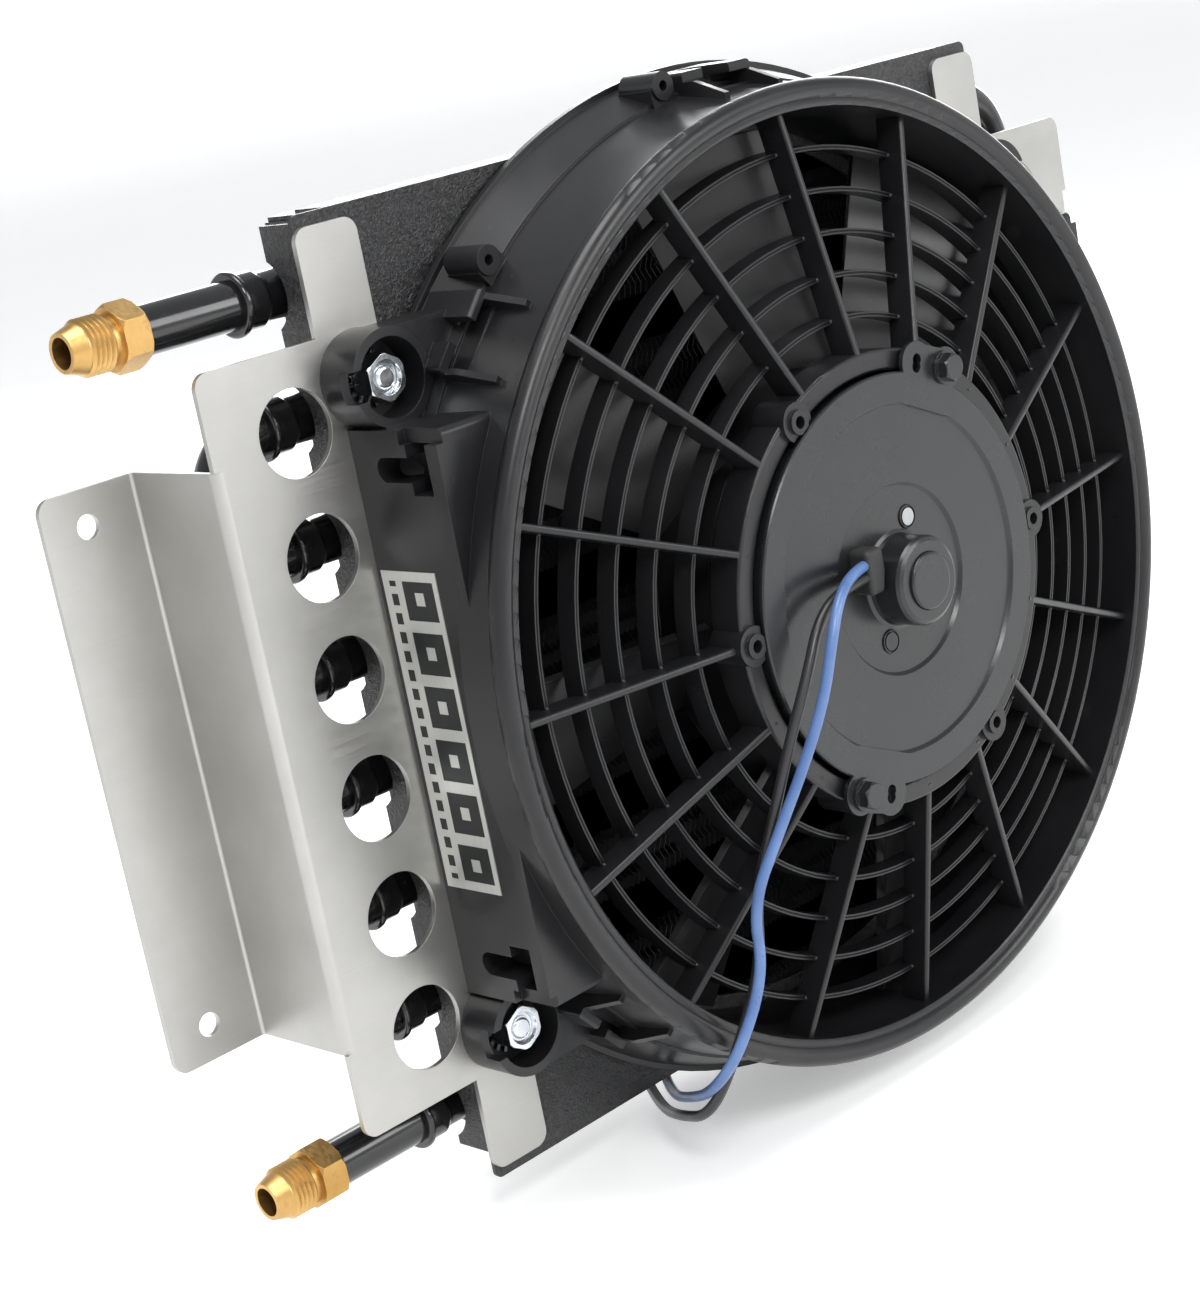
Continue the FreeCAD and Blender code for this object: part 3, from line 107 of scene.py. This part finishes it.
# %% Wires
WIRE_D = 3.0 * MM
UNIT_BEVEL = 1.0
TUBE_SIDES = 6
CURVE_STEPS = 16
CURVE_ORDER = 3
BLUE_LENGTH = 0.3769
BLACK_LENGTH = 0.3730
BLUE_ROUTE = [
    (-18.2, -97.0, 9.2), (-27.6, -100.6, 9.9), (-37.9, -104.2, 6.2), (-44.8, -105.5, -4.0),
    (-49.5, -104.5, -16.5), (-57.5, -102.0, -31.0), (-68.0, -98.5, -47.0), (-79.2, -95.0, -64.0),
    (-78.0, -93.5, -84.0), (-91.0, -92.5, -101.5), (-92.5, -80.5, -114.5), (-79.5, -57.0, -126.5),
    (-67.5, -37.0, -135.2), (-53.0, -17.5, -134.4), (-20.0, -17.5, -134.4), (-2.0, -18.5, -137.0),
    (18.0, -17.5, -134.4), (52.0, -17.5, -134.4), (69.5, -14.0, -137.5), (86.0, -12.5, -136.5),
]
BLACK_ROUTE = [
    (-18.2, -97.0, 5.9), (-30.0, -98.6, 6.6), (-41.5, -99.4, 1.5), (-50.0, -100.4, -10.5),
    (-59.3, -98.6, -26.5), (-66.8, -95.5, -45.0), (-74.0, -91.5, -64.0), (-73.0, -88.0, -83.5),
    (-84.5, -86.5, -102.5), (-90.0, -76.5, -123.0), (-83.5, -56.5, -130.4), (-74.0, -38.5, -135.6),
    (-57.0, -12.5, -134.4), (-22.0, -12.5, -134.4), (-4.0, -11.5, -137.0), (16.0, -12.5, -134.4),
    (50.0, -12.5, -134.4), (66.5, -7.5, -136.8), (81.5, -4.0, -135.2),
]


def make_wire(name, route):
    data = bpy.data.curves.new(name, "CURVE")
    data.dimensions = "3D"
    data.bevel_depth = UNIT_BEVEL
    data.bevel_resolution = TUBE_SIDES
    data.resolution_u = CURVE_STEPS
    data.use_fill_caps = True
    spline = data.splines.new("NURBS")
    spline.points.add(len(route) - 1)
    for point, (x, y, z) in zip(spline.points, route):
        point.co = (x * MM, y * MM, z * MM, 1.0)
        point.radius = WIRE_D / 2
    spline.order_u = CURVE_ORDER
    spline.use_endpoint_u = True
    wire = bpy.data.objects.new(name, data)
    bpy.context.scene.collection.objects.link(wire)
    return wire


blue_wire = make_wire("blue_wire_look", BLUE_ROUTE)
black_wire = make_wire("black_wire_look", BLACK_ROUTE)
for wire, colour, route, length in ((blue_wire, "blue", BLUE_ROUTE, BLUE_LENGTH),
                                    (black_wire, "black", BLACK_ROUTE, BLACK_LENGTH)):
    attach(wire, "cooler")
    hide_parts("wire_" + colour)
print("wires:", len(BLUE_ROUTE), "and", len(BLACK_ROUTE), "points")

# %% [markdown]
# ## Node helpers for the finishes
# Every finish is a Principled shader whose colour, roughness and relief come from noise in object
# coordinates. A small rounded-edge term softens sharp corners.

# %% Node helpers


class Finish:
    """A material under construction, with short calls for the nodes that all finishes share."""

    def __init__(self, name, metallic=0.0):
        self.material = bpy.data.materials.new(name)
        self.material.use_nodes = True
        self.tree = self.material.node_tree
        self.shader = self.tree.nodes["Principled BSDF"]
        self.shader.inputs["Metallic"].default_value = metallic
        self.coord = self.tree.nodes.new("ShaderNodeTexCoord").outputs["Object"]
        self.normal = None

    def link(self, source, target):
        self.tree.links.new(source, target)

    def add(self, kind, **values):
        node = self.tree.nodes.new(kind)
        for key, value in values.items():
            setattr(node, key, value)
        return node

    def stretched(self, stretch):
        node = self.add("ShaderNodeMapping")
        node.inputs["Scale"].default_value = stretch
        self.link(self.coord, node.inputs["Vector"])
        return node.outputs["Vector"]

    def noise(self, scale, detail=3.0, roughness=0.55, stretch=None, distortion=0.0):
        node = self.add("ShaderNodeTexNoise")
        node.inputs["Scale"].default_value = scale
        node.inputs["Detail"].default_value = detail
        node.inputs["Roughness"].default_value = roughness
        node.inputs["Distortion"].default_value = distortion
        self.link(self.stretched(stretch) if stretch else self.coord, node.inputs["Vector"])
        return node.outputs["Fac"]

    def spread(self, value, low, high, to_low=0.0, to_high=1.0):
        node = self.add("ShaderNodeMapRange", clamp=True)
        node.inputs["From Min"].default_value = low
        node.inputs["From Max"].default_value = high
        node.inputs["To Min"].default_value = to_low
        node.inputs["To Max"].default_value = to_high
        self.link(value, node.inputs["Value"])
        return node.outputs["Result"]

    def math(self, operation, a, b):
        node = self.add("ShaderNodeMath", operation=operation)
        for slot, value in zip(node.inputs, (a, b)):
            if isinstance(value, (int, float)):
                slot.default_value = value
            else:
                self.link(value, slot)
        return node.outputs["Value"]

    def mix(self, factor, a, b):
        node = self.add("ShaderNodeMix", data_type="RGBA")
        self.link(factor, node.inputs["Factor"])
        inputs = [i for i in node.inputs if i.type == "RGBA"]
        for slot, value in zip(inputs, (a, b)):
            if isinstance(value, tuple):
                slot.default_value = (*value, 1.0)
            else:
                self.link(value, slot)
        return [o for o in node.outputs if o.type == "RGBA"][0]

    def round_edges(self, radius_mm):
        node = self.add("ShaderNodeBevel", samples=4)
        node.inputs["Radius"].default_value = radius_mm * MM
        self.normal = node.outputs["Normal"]

    def relief(self, height, depth_mm):
        node = self.add("ShaderNodeBump")
        node.inputs["Strength"].default_value = 1.0
        node.inputs["Distance"].default_value = depth_mm * MM
        self.link(height, node.inputs["Height"])
        if self.normal is not None:
            self.link(self.normal, node.inputs["Normal"])
        self.normal = node.outputs["Normal"]

    def done(self, colour, roughness):
        self.link(colour, self.shader.inputs["Base Color"])
        self.link(roughness, self.shader.inputs["Roughness"])
        if self.normal is not None:
            self.link(self.normal, self.shader.inputs["Normal"])
        return self.material


print("node helpers ready")

# %% [markdown]
# ## Finishes
# Dust and handling marks lighten the dark paints a little, and the wrinkle paint has painted shade
# in its creases; metals get fine directional grain.

# %% Dark paints and plastics


def dark_finish(name, dark, light, rough, grain_scale, grain_mm, metallic=0.0, edge_mm=0.3,
                dust=0.25, coat=0.0, gloss=0.5):
    f = Finish(name, metallic)
    if edge_mm:
        f.round_edges(edge_mm)
    f.relief(f.noise(grain_scale, 2.0), grain_mm)
    tone = f.mix(f.spread(f.noise(22.0, 4.0), 0.3, 0.72), dark, light)
    specks = f.spread(f.noise(520.0, 2.0, 0.7), 0.68, 0.78, 0.0, dust)
    dusty = f.mix(specks, tone, DUST)
    roughness = f.spread(f.noise(60.0, 5.0, 0.65), 0.3, 0.7, rough[0], rough[1])
    f.shader.inputs["Specular IOR Level"].default_value = gloss
    f.shader.inputs["Coat Weight"].default_value = coat
    f.shader.inputs["Coat Roughness"].default_value = 0.08
    return f.done(dusty, roughness)


def wrinkle_finish():
    f = Finish("wrinkle_black_paint")
    f.round_edges(0.3)
    folds = f.noise(560.0, 3.0, 0.62, distortion=2.2)
    f.relief(folds, 0.55)
    # The colour follows the fold height: creases are painted darker and crests lighter, which is
    # painted shade in the creases and a painted highlight on the crests.
    tone = f.mix(f.spread(folds, 0.35, 0.7), (0.006, 0.006, 0.0065), (0.035, 0.035, 0.037))
    return f.done(tone, f.spread(f.noise(90.0, 3.0), 0.3, 0.7, 0.26, 0.42))


DUST = (0.13, 0.128, 0.125)
finishes = {
    "plate_black": wrinkle_finish(),
    "housing_plastic": dark_finish(
        "satin_black_plastic", (0.007, 0.007, 0.008), (0.013, 0.013, 0.014), (0.27, 0.38),
        1500.0, 0.012, edge_mm=0.25, dust=0.15, gloss=0.42),
    "cover_black": dark_finish(
        "semi_gloss_black_paint", (0.008, 0.0088, 0.0095), (0.013, 0.0138, 0.0145), (0.24, 0.34),
        900.0, 0.012, dust=0.12, coat=0.05),
    "tube_black": dark_finish(
        "gloss_black_paint", (0.004, 0.004, 0.0045), (0.009, 0.009, 0.010), (0.12, 0.22),
        300.0, 0.02, dust=0.12, coat=0.3),
    "fin_black": dark_finish(
        "fin_black_paint", (0.05, 0.05, 0.052), (0.10, 0.10, 0.104), (0.24, 0.4),
        800.0, 0.02, metallic=0.6, edge_mm=0.0, dust=0.3),
    "rubber_black": dark_finish(
        "black_rubber", (0.012, 0.012, 0.012), (0.024, 0.024, 0.024), (0.5, 0.66),
        1100.0, 0.03, edge_mm=0.5, dust=0.2),
    "wire_black": dark_finish(
        "black_wire_jacket", (0.010, 0.010, 0.011), (0.02, 0.02, 0.022), (0.28, 0.4),
        700.0, 0.015, edge_mm=0.0, dust=0.15),
    "magnet_dark": dark_finish(
        "sintered_magnet", (0.05, 0.05, 0.055), (0.10, 0.10, 0.105), (0.5, 0.7),
        1200.0, 0.03, metallic=0.4),
}
print("dark finishes:", sorted(finishes))

# %% Metals, wires and label


def metal_finish(name, dark, light, rough, grain, grain_mm, tone_scale=30.0, stain=None):
    f = Finish(name, 1.0)
    f.round_edges(0.2)
    fine = f.noise(1.0, 4.0, 0.6, stretch=grain)
    f.relief(fine, grain_mm)
    tone = f.mix(f.spread(f.noise(tone_scale, 4.0), 0.3, 0.7), dark, light)
    if stain:
        patches = f.spread(f.noise(tone_scale * 4.0, 5.0, 0.7), 0.55, 0.8, 0.0, 0.7)
        tone = f.mix(patches, tone, stain)
    roughness = f.math("ADD", f.spread(fine, 0.3, 0.7, rough[0], rough[1]),
                       f.spread(f.noise(45.0, 3.0), 0.35, 0.7, -0.03, 0.05))
    return f.done(tone, roughness)


def soft_finish(name, dark, light, rough):
    f = Finish(name)
    f.round_edges(0.2)
    f.relief(f.noise(800.0, 3.0), 0.02)
    tone = f.mix(f.spread(f.noise(70.0, 3.0), 0.3, 0.7), dark, light)
    return f.done(tone, f.spread(f.noise(200.0, 3.0), 0.3, 0.7, rough[0], rough[1]))


label_low, label_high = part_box("label_plate")
BLOCK_COUNT = 6.0
LINE_DASHES = 17.0


def label_finish():
    """Silver film with a row of plain blocks and a row of dashes: no lettering."""
    f = Finish("silver_label", 0.7)
    f.relief(f.noise(900.0, 2.0), 0.004)
    split = f.add("ShaderNodeSeparateXYZ")
    f.link(f.coord, split.inputs[0])
    across = f.spread(split.outputs["Y"], label_low.y, label_high.y)
    up = f.spread(split.outputs["Z"], label_low.z, label_high.z)

    def between(value, low, high):
        above = f.math("GREATER_THAN", value, low)
        return f.math("MULTIPLY", above, f.math("LESS_THAN", value, high))

    block = f.math("FRACT", f.math("MULTIPLY", up, BLOCK_COUNT), 0.0)
    window = f.math("MULTIPLY", between(block, 0.38, 0.62), between(across, 0.28, 0.44))
    blocks = f.math("MULTIPLY", between(block, 0.10, 0.88), between(across, 0.08, 0.64))
    blocks = f.math("SUBTRACT", blocks, window)
    dash = f.math("FRACT", f.math("MULTIPLY", up, LINE_DASHES), 0.0)
    dashes = f.math("MULTIPLY", between(dash, 0.2, 0.8), between(across, 0.76, 0.88))
    ink = f.math("MULTIPLY", f.math("MAXIMUM", blocks, dashes), between(up, 0.03, 0.97))
    silver = f.mix(f.noise(1.0, 3.0, 0.5, stretch=(1.0, 2600.0, 40.0)),
                   (0.50, 0.50, 0.48), (0.64, 0.64, 0.61))
    tone = f.mix(f.math("MULTIPLY", ink, 0.96), silver, (0.012, 0.014, 0.015))
    return f.done(tone, f.spread(f.noise(150.0, 3.0), 0.3, 0.7, 0.3, 0.42))


finishes["bracket_aluminium"] = metal_finish(
    "brushed_aluminium", (0.42, 0.415, 0.395), (0.48, 0.475, 0.455), (0.36, 0.48),
    (30.0, 1400.0, 3200.0), 0.006)
finishes["fitting_brass"] = metal_finish(
    "dull_brass", (0.46, 0.27, 0.085), (0.66, 0.43, 0.17), (0.30, 0.46),
    (1500.0, 500.0, 500.0), 0.02, tone_scale=60.0, stain=(0.17, 0.10, 0.04))
finishes["zinc_steel"] = metal_finish(
    "bright_zinc", (0.66, 0.69, 0.72), (0.84, 0.87, 0.90), (0.14, 0.26),
    (700.0, 700.0, 700.0), 0.005, stain=(0.36, 0.36, 0.37))
finishes["copper"] = metal_finish(
    "copper_wire", (0.50, 0.22, 0.11), (0.66, 0.33, 0.19), (0.25, 0.4),
    (900.0, 900.0, 900.0), 0.04)
finishes["wire_blue"] = soft_finish(
    "blue_wire_jacket", (0.055, 0.11, 0.26), (0.095, 0.17, 0.36), (0.26, 0.36))
finishes["nylon_natural"] = soft_finish(
    "natural_nylon", (0.55, 0.54, 0.48), (0.68, 0.67, 0.61), (0.4, 0.55))
finishes["label_silver"] = label_finish()
print("finishes:", len(finishes))

# %% [markdown]
# ## The bare face of the upper plug
# One of the two plugs in the cover has lost its paint and shows grey metal. Both plugs are one
# node, so the finish finds the upper one by its place: a disc in object coordinates.

# %% Plug faces
plug_low, plug_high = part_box("cover_plugs")
PLUG_R = 3.3 * MM
BARE_R = 2.4 * MM


def plug_finish():
    f = Finish("plug_paint")
    f.round_edges(0.2)
    away = f.add("ShaderNodeVectorMath", operation="DISTANCE")
    f.link(f.stretched((1.0, 0.0, 1.0)), away.inputs[0])
    away.inputs[1].default_value = (plug_high.x - PLUG_R, 0.0, plug_high.z - PLUG_R)
    bare = f.math("LESS_THAN", away.outputs["Value"], BARE_R)
    worn = f.mix(f.noise(400.0, 3.0), (0.30, 0.31, 0.32), (0.42, 0.43, 0.44))
    return f.done(f.mix(bare, (0.012, 0.013, 0.014), worn),
                  f.spread(f.noise(90.0), 0.3, 0.7, 0.32, 0.45))


plug_faces = plug_finish()
print("plug face centre at z", round((plug_high.z - PLUG_R) / MM, 1), "mm")

# %% Dress the CAD nodes


def dress(obj, material):
    obj.data.materials.clear()
    obj.data.materials.append(material)


slot_of = {s["node"]: s["material_slot"] for s in frame["record"]["subparts"]}
for name, obj in nodes.items():
    dress(obj, finishes[slot_of[name]])
dress(nodes["cover_plugs"], plug_faces)
dress(blue_wire, finishes["wire_blue"])
dress(black_wire, finishes["wire_black"])
print("dressed", len(nodes), "nodes")

# %% [markdown]
# ## Fins
# On the real core each fin is one thin sheet, pressed into small ripples between the tubes and left
# flat where a tube passes. A texture on a block would stay a block, and a modifier stack for every
# sheet would be slow. So one fin is built from grids whose rows are moved to the ripple, given its
# thickness with solidify, and then duplicated along the core.

# %% One fin
FIN_COUNT = 110
FIN_PITCH = 2.1 * MM
FIN_THICK = 0.2 * MM
RIPPLE_HALF = 3.175 * MM
RIPPLE = 0.8 * MM
RIPPLE_POINTS = 7
TUBE_COUNT = 8
TUBE_PITCH = 31.75 * MM
TUBE_SLIT = 6.5 * MM
fin_low, fin_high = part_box("fin_pack")
tube_y = (fin_low.y + fin_high.y) / 2
gap_middles = [(i - TUBE_COUNT / 2) * TUBE_PITCH for i in range(TUBE_COUNT + 1)]


def ripple_rows():
    """(height, sideways shift) of each row: a zigzag in every gap between tubes."""
    rows = []
    for middle in gap_middles:
        for k in range(RIPPLE_POINTS):
            z = middle + (k - (RIPPLE_POINTS - 1) / 2) * RIPPLE_HALF
            shift = 0.0 if k in (0, RIPPLE_POINTS - 1) else RIPPLE * (1 if k % 2 else -1)
            if fin_low.z < z < fin_high.z:
                rows.append((z, shift))
    return [(fin_low.z, 0.0)] + rows + [(fin_high.z, 0.0)]


def fin_sheet(built, y_front, y_back, rows):
    """One strip of fin as a grid whose rows stand at the given heights and shifts."""
    verts = bmesh.ops.create_grid(built, x_segments=1, y_segments=len(rows) - 1, size=0.5)["verts"]
    for vert in verts:
        z, shift = rows[round((vert.co.y + 0.5) * (len(rows) - 1))]
        vert.co = (shift, y_back if vert.co.x > 0 else y_front, z)
    faces = list({face for vert in verts for face in vert.link_faces})
    bmesh.ops.solidify(built, geom=faces, thickness=FIN_THICK)


def one_fin(built):
    rows = ripple_rows()
    fin_sheet(built, fin_low.y, tube_y - TUBE_SLIT, rows)
    fin_sheet(built, tube_y + TUBE_SLIT, fin_high.y, rows)
    for middle in gap_middles:
        bottom = max(fin_low.z, middle - TUBE_PITCH / 2 + TUBE_SLIT)
        top = min(fin_high.z, middle + TUBE_PITCH / 2 - TUBE_SLIT)
        fin_sheet(built, tube_y - TUBE_SLIT, tube_y + TUBE_SLIT, [(bottom, 0.0), (top, 0.0)])
    bmesh.ops.recalc_face_normals(built, faces=built.faces)


print("rows in a fin:", len(ripple_rows()))

# %% All fins


def finished_piece(name, built, finish, smooth=False):
    """Turn a bmesh into a scene object with its finish."""
    mesh = bpy.data.meshes.new(name)
    built.to_mesh(mesh)
    built.free()
    for face in mesh.polygons:
        face.use_smooth = smooth
    piece = bpy.data.objects.new(name, mesh)
    bpy.context.scene.collection.objects.link(piece)
    dress(piece, finish)
    return piece


def make_fins():
    built = bmesh.new()
    one_fin(built)
    bmesh.ops.translate(built, verts=built.verts, vec=(-(FIN_COUNT - 1) / 2 * FIN_PITCH, 0, 0))
    first = built.verts[:] + built.edges[:] + built.faces[:]
    for i in range(1, FIN_COUNT):
        copy = bmesh.ops.duplicate(built, geom=first)["geom"]
        moved = [part for part in copy if isinstance(part, bmesh.types.BMVert)]
        bmesh.ops.translate(built, verts=moved, vec=(i * FIN_PITCH, 0, 0))
    return finished_piece("cooling_fins", built, finishes["fin_black"])


fins = make_fins()
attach(fins, "cooler")
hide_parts("fin_pack")
print("fin faces:", len(fins.data.polygons))

# %% [markdown]
# ## Toothed washers
# The washers under the ear nuts are external tooth washers: a thin ring whose rim is cut into
# teeth with a slight twist. Two circles bridged into a flat ring give the sheet, every second
# pair of rim points moves inwards, and solidify gives the thickness.

# %% Toothed washers
TOOTH_COUNT = 16
WASHER_BORE = 3.4 * MM
WASHER_ROOT = 6.0 * MM
WASHER_TIP = 7.5 * MM
TOOTH_TWIST = 0.16 * MM
washer_low, washer_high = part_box("ear_washers")
WASHER_THICK = (washer_high.y - washer_low.y) - 3 * TOOTH_TWIST
CAD_WASHER_R = 7.6 * MM
ear_x = washer_high.x - CAD_WASHER_R
ear_z = washer_high.z - CAD_WASHER_R
ear_points = [(sx * ear_x, sz * ear_z) for sx in (-1, 1) for sz in (-1, 1)]


def toothed_washer(built, x, z):
    rim = bmesh.ops.create_circle(built, segments=4 * TOOTH_COUNT, radius=WASHER_TIP)["verts"]
    bore = bmesh.ops.create_circle(built, segments=4 * TOOTH_COUNT, radius=WASHER_BORE)["verts"]
    edges = list({edge for vert in rim + bore for edge in vert.link_edges})
    faces = bmesh.ops.bridge_loops(built, edges=edges)["faces"]
    for k, vert in enumerate(rim):
        if k % 4 > 1:
            vert.co *= WASHER_ROOT / WASHER_TIP
        else:
            vert.co.z = TOOTH_TWIST * (1 if k % 4 else -1)
    made = bmesh.ops.solidify(built, geom=faces, thickness=WASHER_THICK)["geom"]
    verts = set(rim + bore) | {part for part in made if isinstance(part, bmesh.types.BMVert)}
    place = Matrix.Translation((x, (washer_low.y + washer_high.y) / 2, z))
    turn = place @ Matrix.Rotation(math.pi / 2, 4, "X")
    middle = sum((v.co.z for v in verts)) / len(verts)
    bmesh.ops.transform(built, matrix=turn @ Matrix.Translation((0, 0, -middle)), verts=list(verts))


def make_washers():
    built = bmesh.new()
    for x, z in ear_points:
        toothed_washer(built, x, z)
    bmesh.ops.recalc_face_normals(built, faces=built.faces)
    return finished_piece("toothed_washers", built, finishes["tube_black"])


washers = make_washers()
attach(washers, "cooler")
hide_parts("ear_washers")
print("washer faces:", len(washers.data.polygons))

# %% [markdown]
# ## Smooth housing
# The CAD housing arrives as loose triangles, and its round rim roll shows them as fine streaks in
# the highlights. A merged copy, shaded smooth wherever two faces meet at a small angle, has clean
# highlights and keeps every real edge sharp, so it stands for the CAD node.

# %% Smooth housing
MERGE_WITHIN = 0.004 * MM
SHARP_ABOVE = math.radians(24.0)


def smooth_copy(name, node, finish):
    built = bmesh.new()
    built.from_mesh(nodes[node].data)
    bmesh.ops.remove_doubles(built, verts=built.verts, dist=MERGE_WITHIN)
    for edge in built.edges:
        edge.smooth = edge.calc_face_angle(math.pi) < SHARP_ABOVE
    piece = finished_piece(name, built, finish, smooth=True)
    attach(piece, "cooler")
    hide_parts(node)
    return piece


smooth_housing = smooth_copy(
    "smooth_fan_housing", "fan_housing", finishes["housing_plastic"])
print("housing faces:", len(smooth_housing.data.polygons))

# %% [markdown]
# ## Moulding pips on the guard
# Where each ring slat meets a rib, the mould's ejector pins leave a small pip on the rib's side.
# They are tiny and there are hundreds, so each is a coarse ball half sunk into the rib.

# %% Moulding pips
RIB_COUNT = 16
RIB_HALF = 1.05 * MM
SLAT_RADII = [(117.2 - 11.35 * i) * MM for i in range(5)]
GUARD_RIM_R = 127.9 * MM
GUARD_HUB_R = 62.6 * MM
PLATE_Y = -37.0 * MM
RIB_RIM_Y = PLATE_Y - 40.6 * MM
RIB_HUB_Y = PLATE_Y - 54.3 * MM
SLAT_BACK = 5.2 * MM
SLAT_REAR = 10.6 * MM
PIP_R = 0.75 * MM


def rib_front_y(radius):
    share = (GUARD_RIM_R - radius) / (GUARD_RIM_R - GUARD_HUB_R)
    return RIB_RIM_Y + (RIB_HUB_Y - RIB_RIM_Y) * share


PIP_SEGMENTS = 8
PIP_RINGS = 5


def make_pips():
    built = bmesh.new()
    for rib in range(RIB_COUNT):
        turn = Matrix.Rotation(-2 * math.pi * rib / RIB_COUNT, 4, "Y")
        for radius in SLAT_RADII:
            for behind in (SLAT_BACK, SLAT_REAR):
                for side in (-1, 1):
                    at = Matrix.Translation((radius, rib_front_y(radius) + behind, side * RIB_HALF))
                    bmesh.ops.create_uvsphere(
                        built, u_segments=PIP_SEGMENTS, v_segments=PIP_RINGS, radius=PIP_R,
                        matrix=turn @ at)
    return finished_piece(
        "guard_pips", built, finishes["housing_plastic"], smooth=True)


pips = make_pips()
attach(pips, "cooler")
print("pip faces:", len(pips.data.polygons))

# %% [markdown]
# ## Floor and light
# The part stands on a wide pale floor with a low pale wall round it, so no dark horizon shows from
# any side. Large soft lamps in front, at the left front, above and behind to the right give long
# soft highlights, and the side wall stays a little darker, so the folds of the brackets read.

# %% Floor and backdrop
FLOOR_Z = size_at_load[0].z
FLOOR_R = 7.0
WALL_HEIGHT = 2.4
GLOW = 0.34
STAGE_SIDES = 64


def stage_piece(name, built):
    mesh = bpy.data.meshes.new(name)
    built.to_mesh(mesh)
    built.free()
    piece = bpy.data.objects.new(name, mesh)
    bpy.context.scene.collection.objects.link(piece)
    f = Finish("pale_" + name)
    tone = f.mix(f.noise(3.0, 2.0), (0.80, 0.80, 0.80), (0.83, 0.83, 0.83))
    f.shader.inputs["Emission Color"].default_value = (1.0, 1.0, 1.0, 1.0)
    f.shader.inputs["Emission Strength"].default_value = GLOW
    dress(piece, f.done(tone, f.spread(f.noise(5.0), 0.3, 0.7, 0.6, 0.7)))


def make_stage():
    built = bmesh.new()
    bmesh.ops.create_circle(built, cap_ends=True, segments=STAGE_SIDES, radius=FLOOR_R)
    rim = [edge for edge in built.edges if edge.is_boundary]
    raised = bmesh.ops.extrude_edge_only(built, edges=rim)["geom"]
    verts = [part for part in raised if isinstance(part, bmesh.types.BMVert)]
    bmesh.ops.translate(built, verts=verts, vec=(0, 0, WALL_HEIGHT))
    bmesh.ops.translate(built, verts=built.verts, vec=(0, 0, FLOOR_Z))
    stage_piece("floor", built)


make_stage()
print("floor at", round(FLOOR_Z, 4))

# %% Lamps


def soft_lamp(name, at, size, watts):
    data = bpy.data.lights.new(name, "AREA")
    data.shape = "RECTANGLE"
    data.size, data.size_y = size
    data.energy = watts
    lamp = bpy.data.objects.new(name, data)
    lamp.location = at
    lamp.rotation_euler = (Vector((0, -0.05, 0)) - Vector(at)).to_track_quat("-Z", "Y").to_euler()
    bpy.context.scene.collection.objects.link(lamp)


world = bpy.data.worlds.new("soft_surround")
world.use_nodes = True
world.node_tree.nodes["Background"].inputs["Color"].default_value = (0.95, 0.97, 1.0, 1.0)
world.node_tree.nodes["Background"].inputs["Strength"].default_value = 0.55
bpy.context.scene.world = world
soft_lamp("front_light", (0.6, -1.6, 0.7), (1.0, 0.8), 14.0)
soft_lamp("left_front_light", (-0.8, -1.3, 1.3), (0.5, 0.5), 16.0)
soft_lamp("top_light", (-0.2, -0.2, 1.7), (1.0, 1.0), 22.0)
soft_lamp("back_light", (1.3, 1.0, 0.5), (1.4, 1.0), 26.0)
bpy.context.scene.view_settings.view_transform = "Standard"
print("lamps: 4")
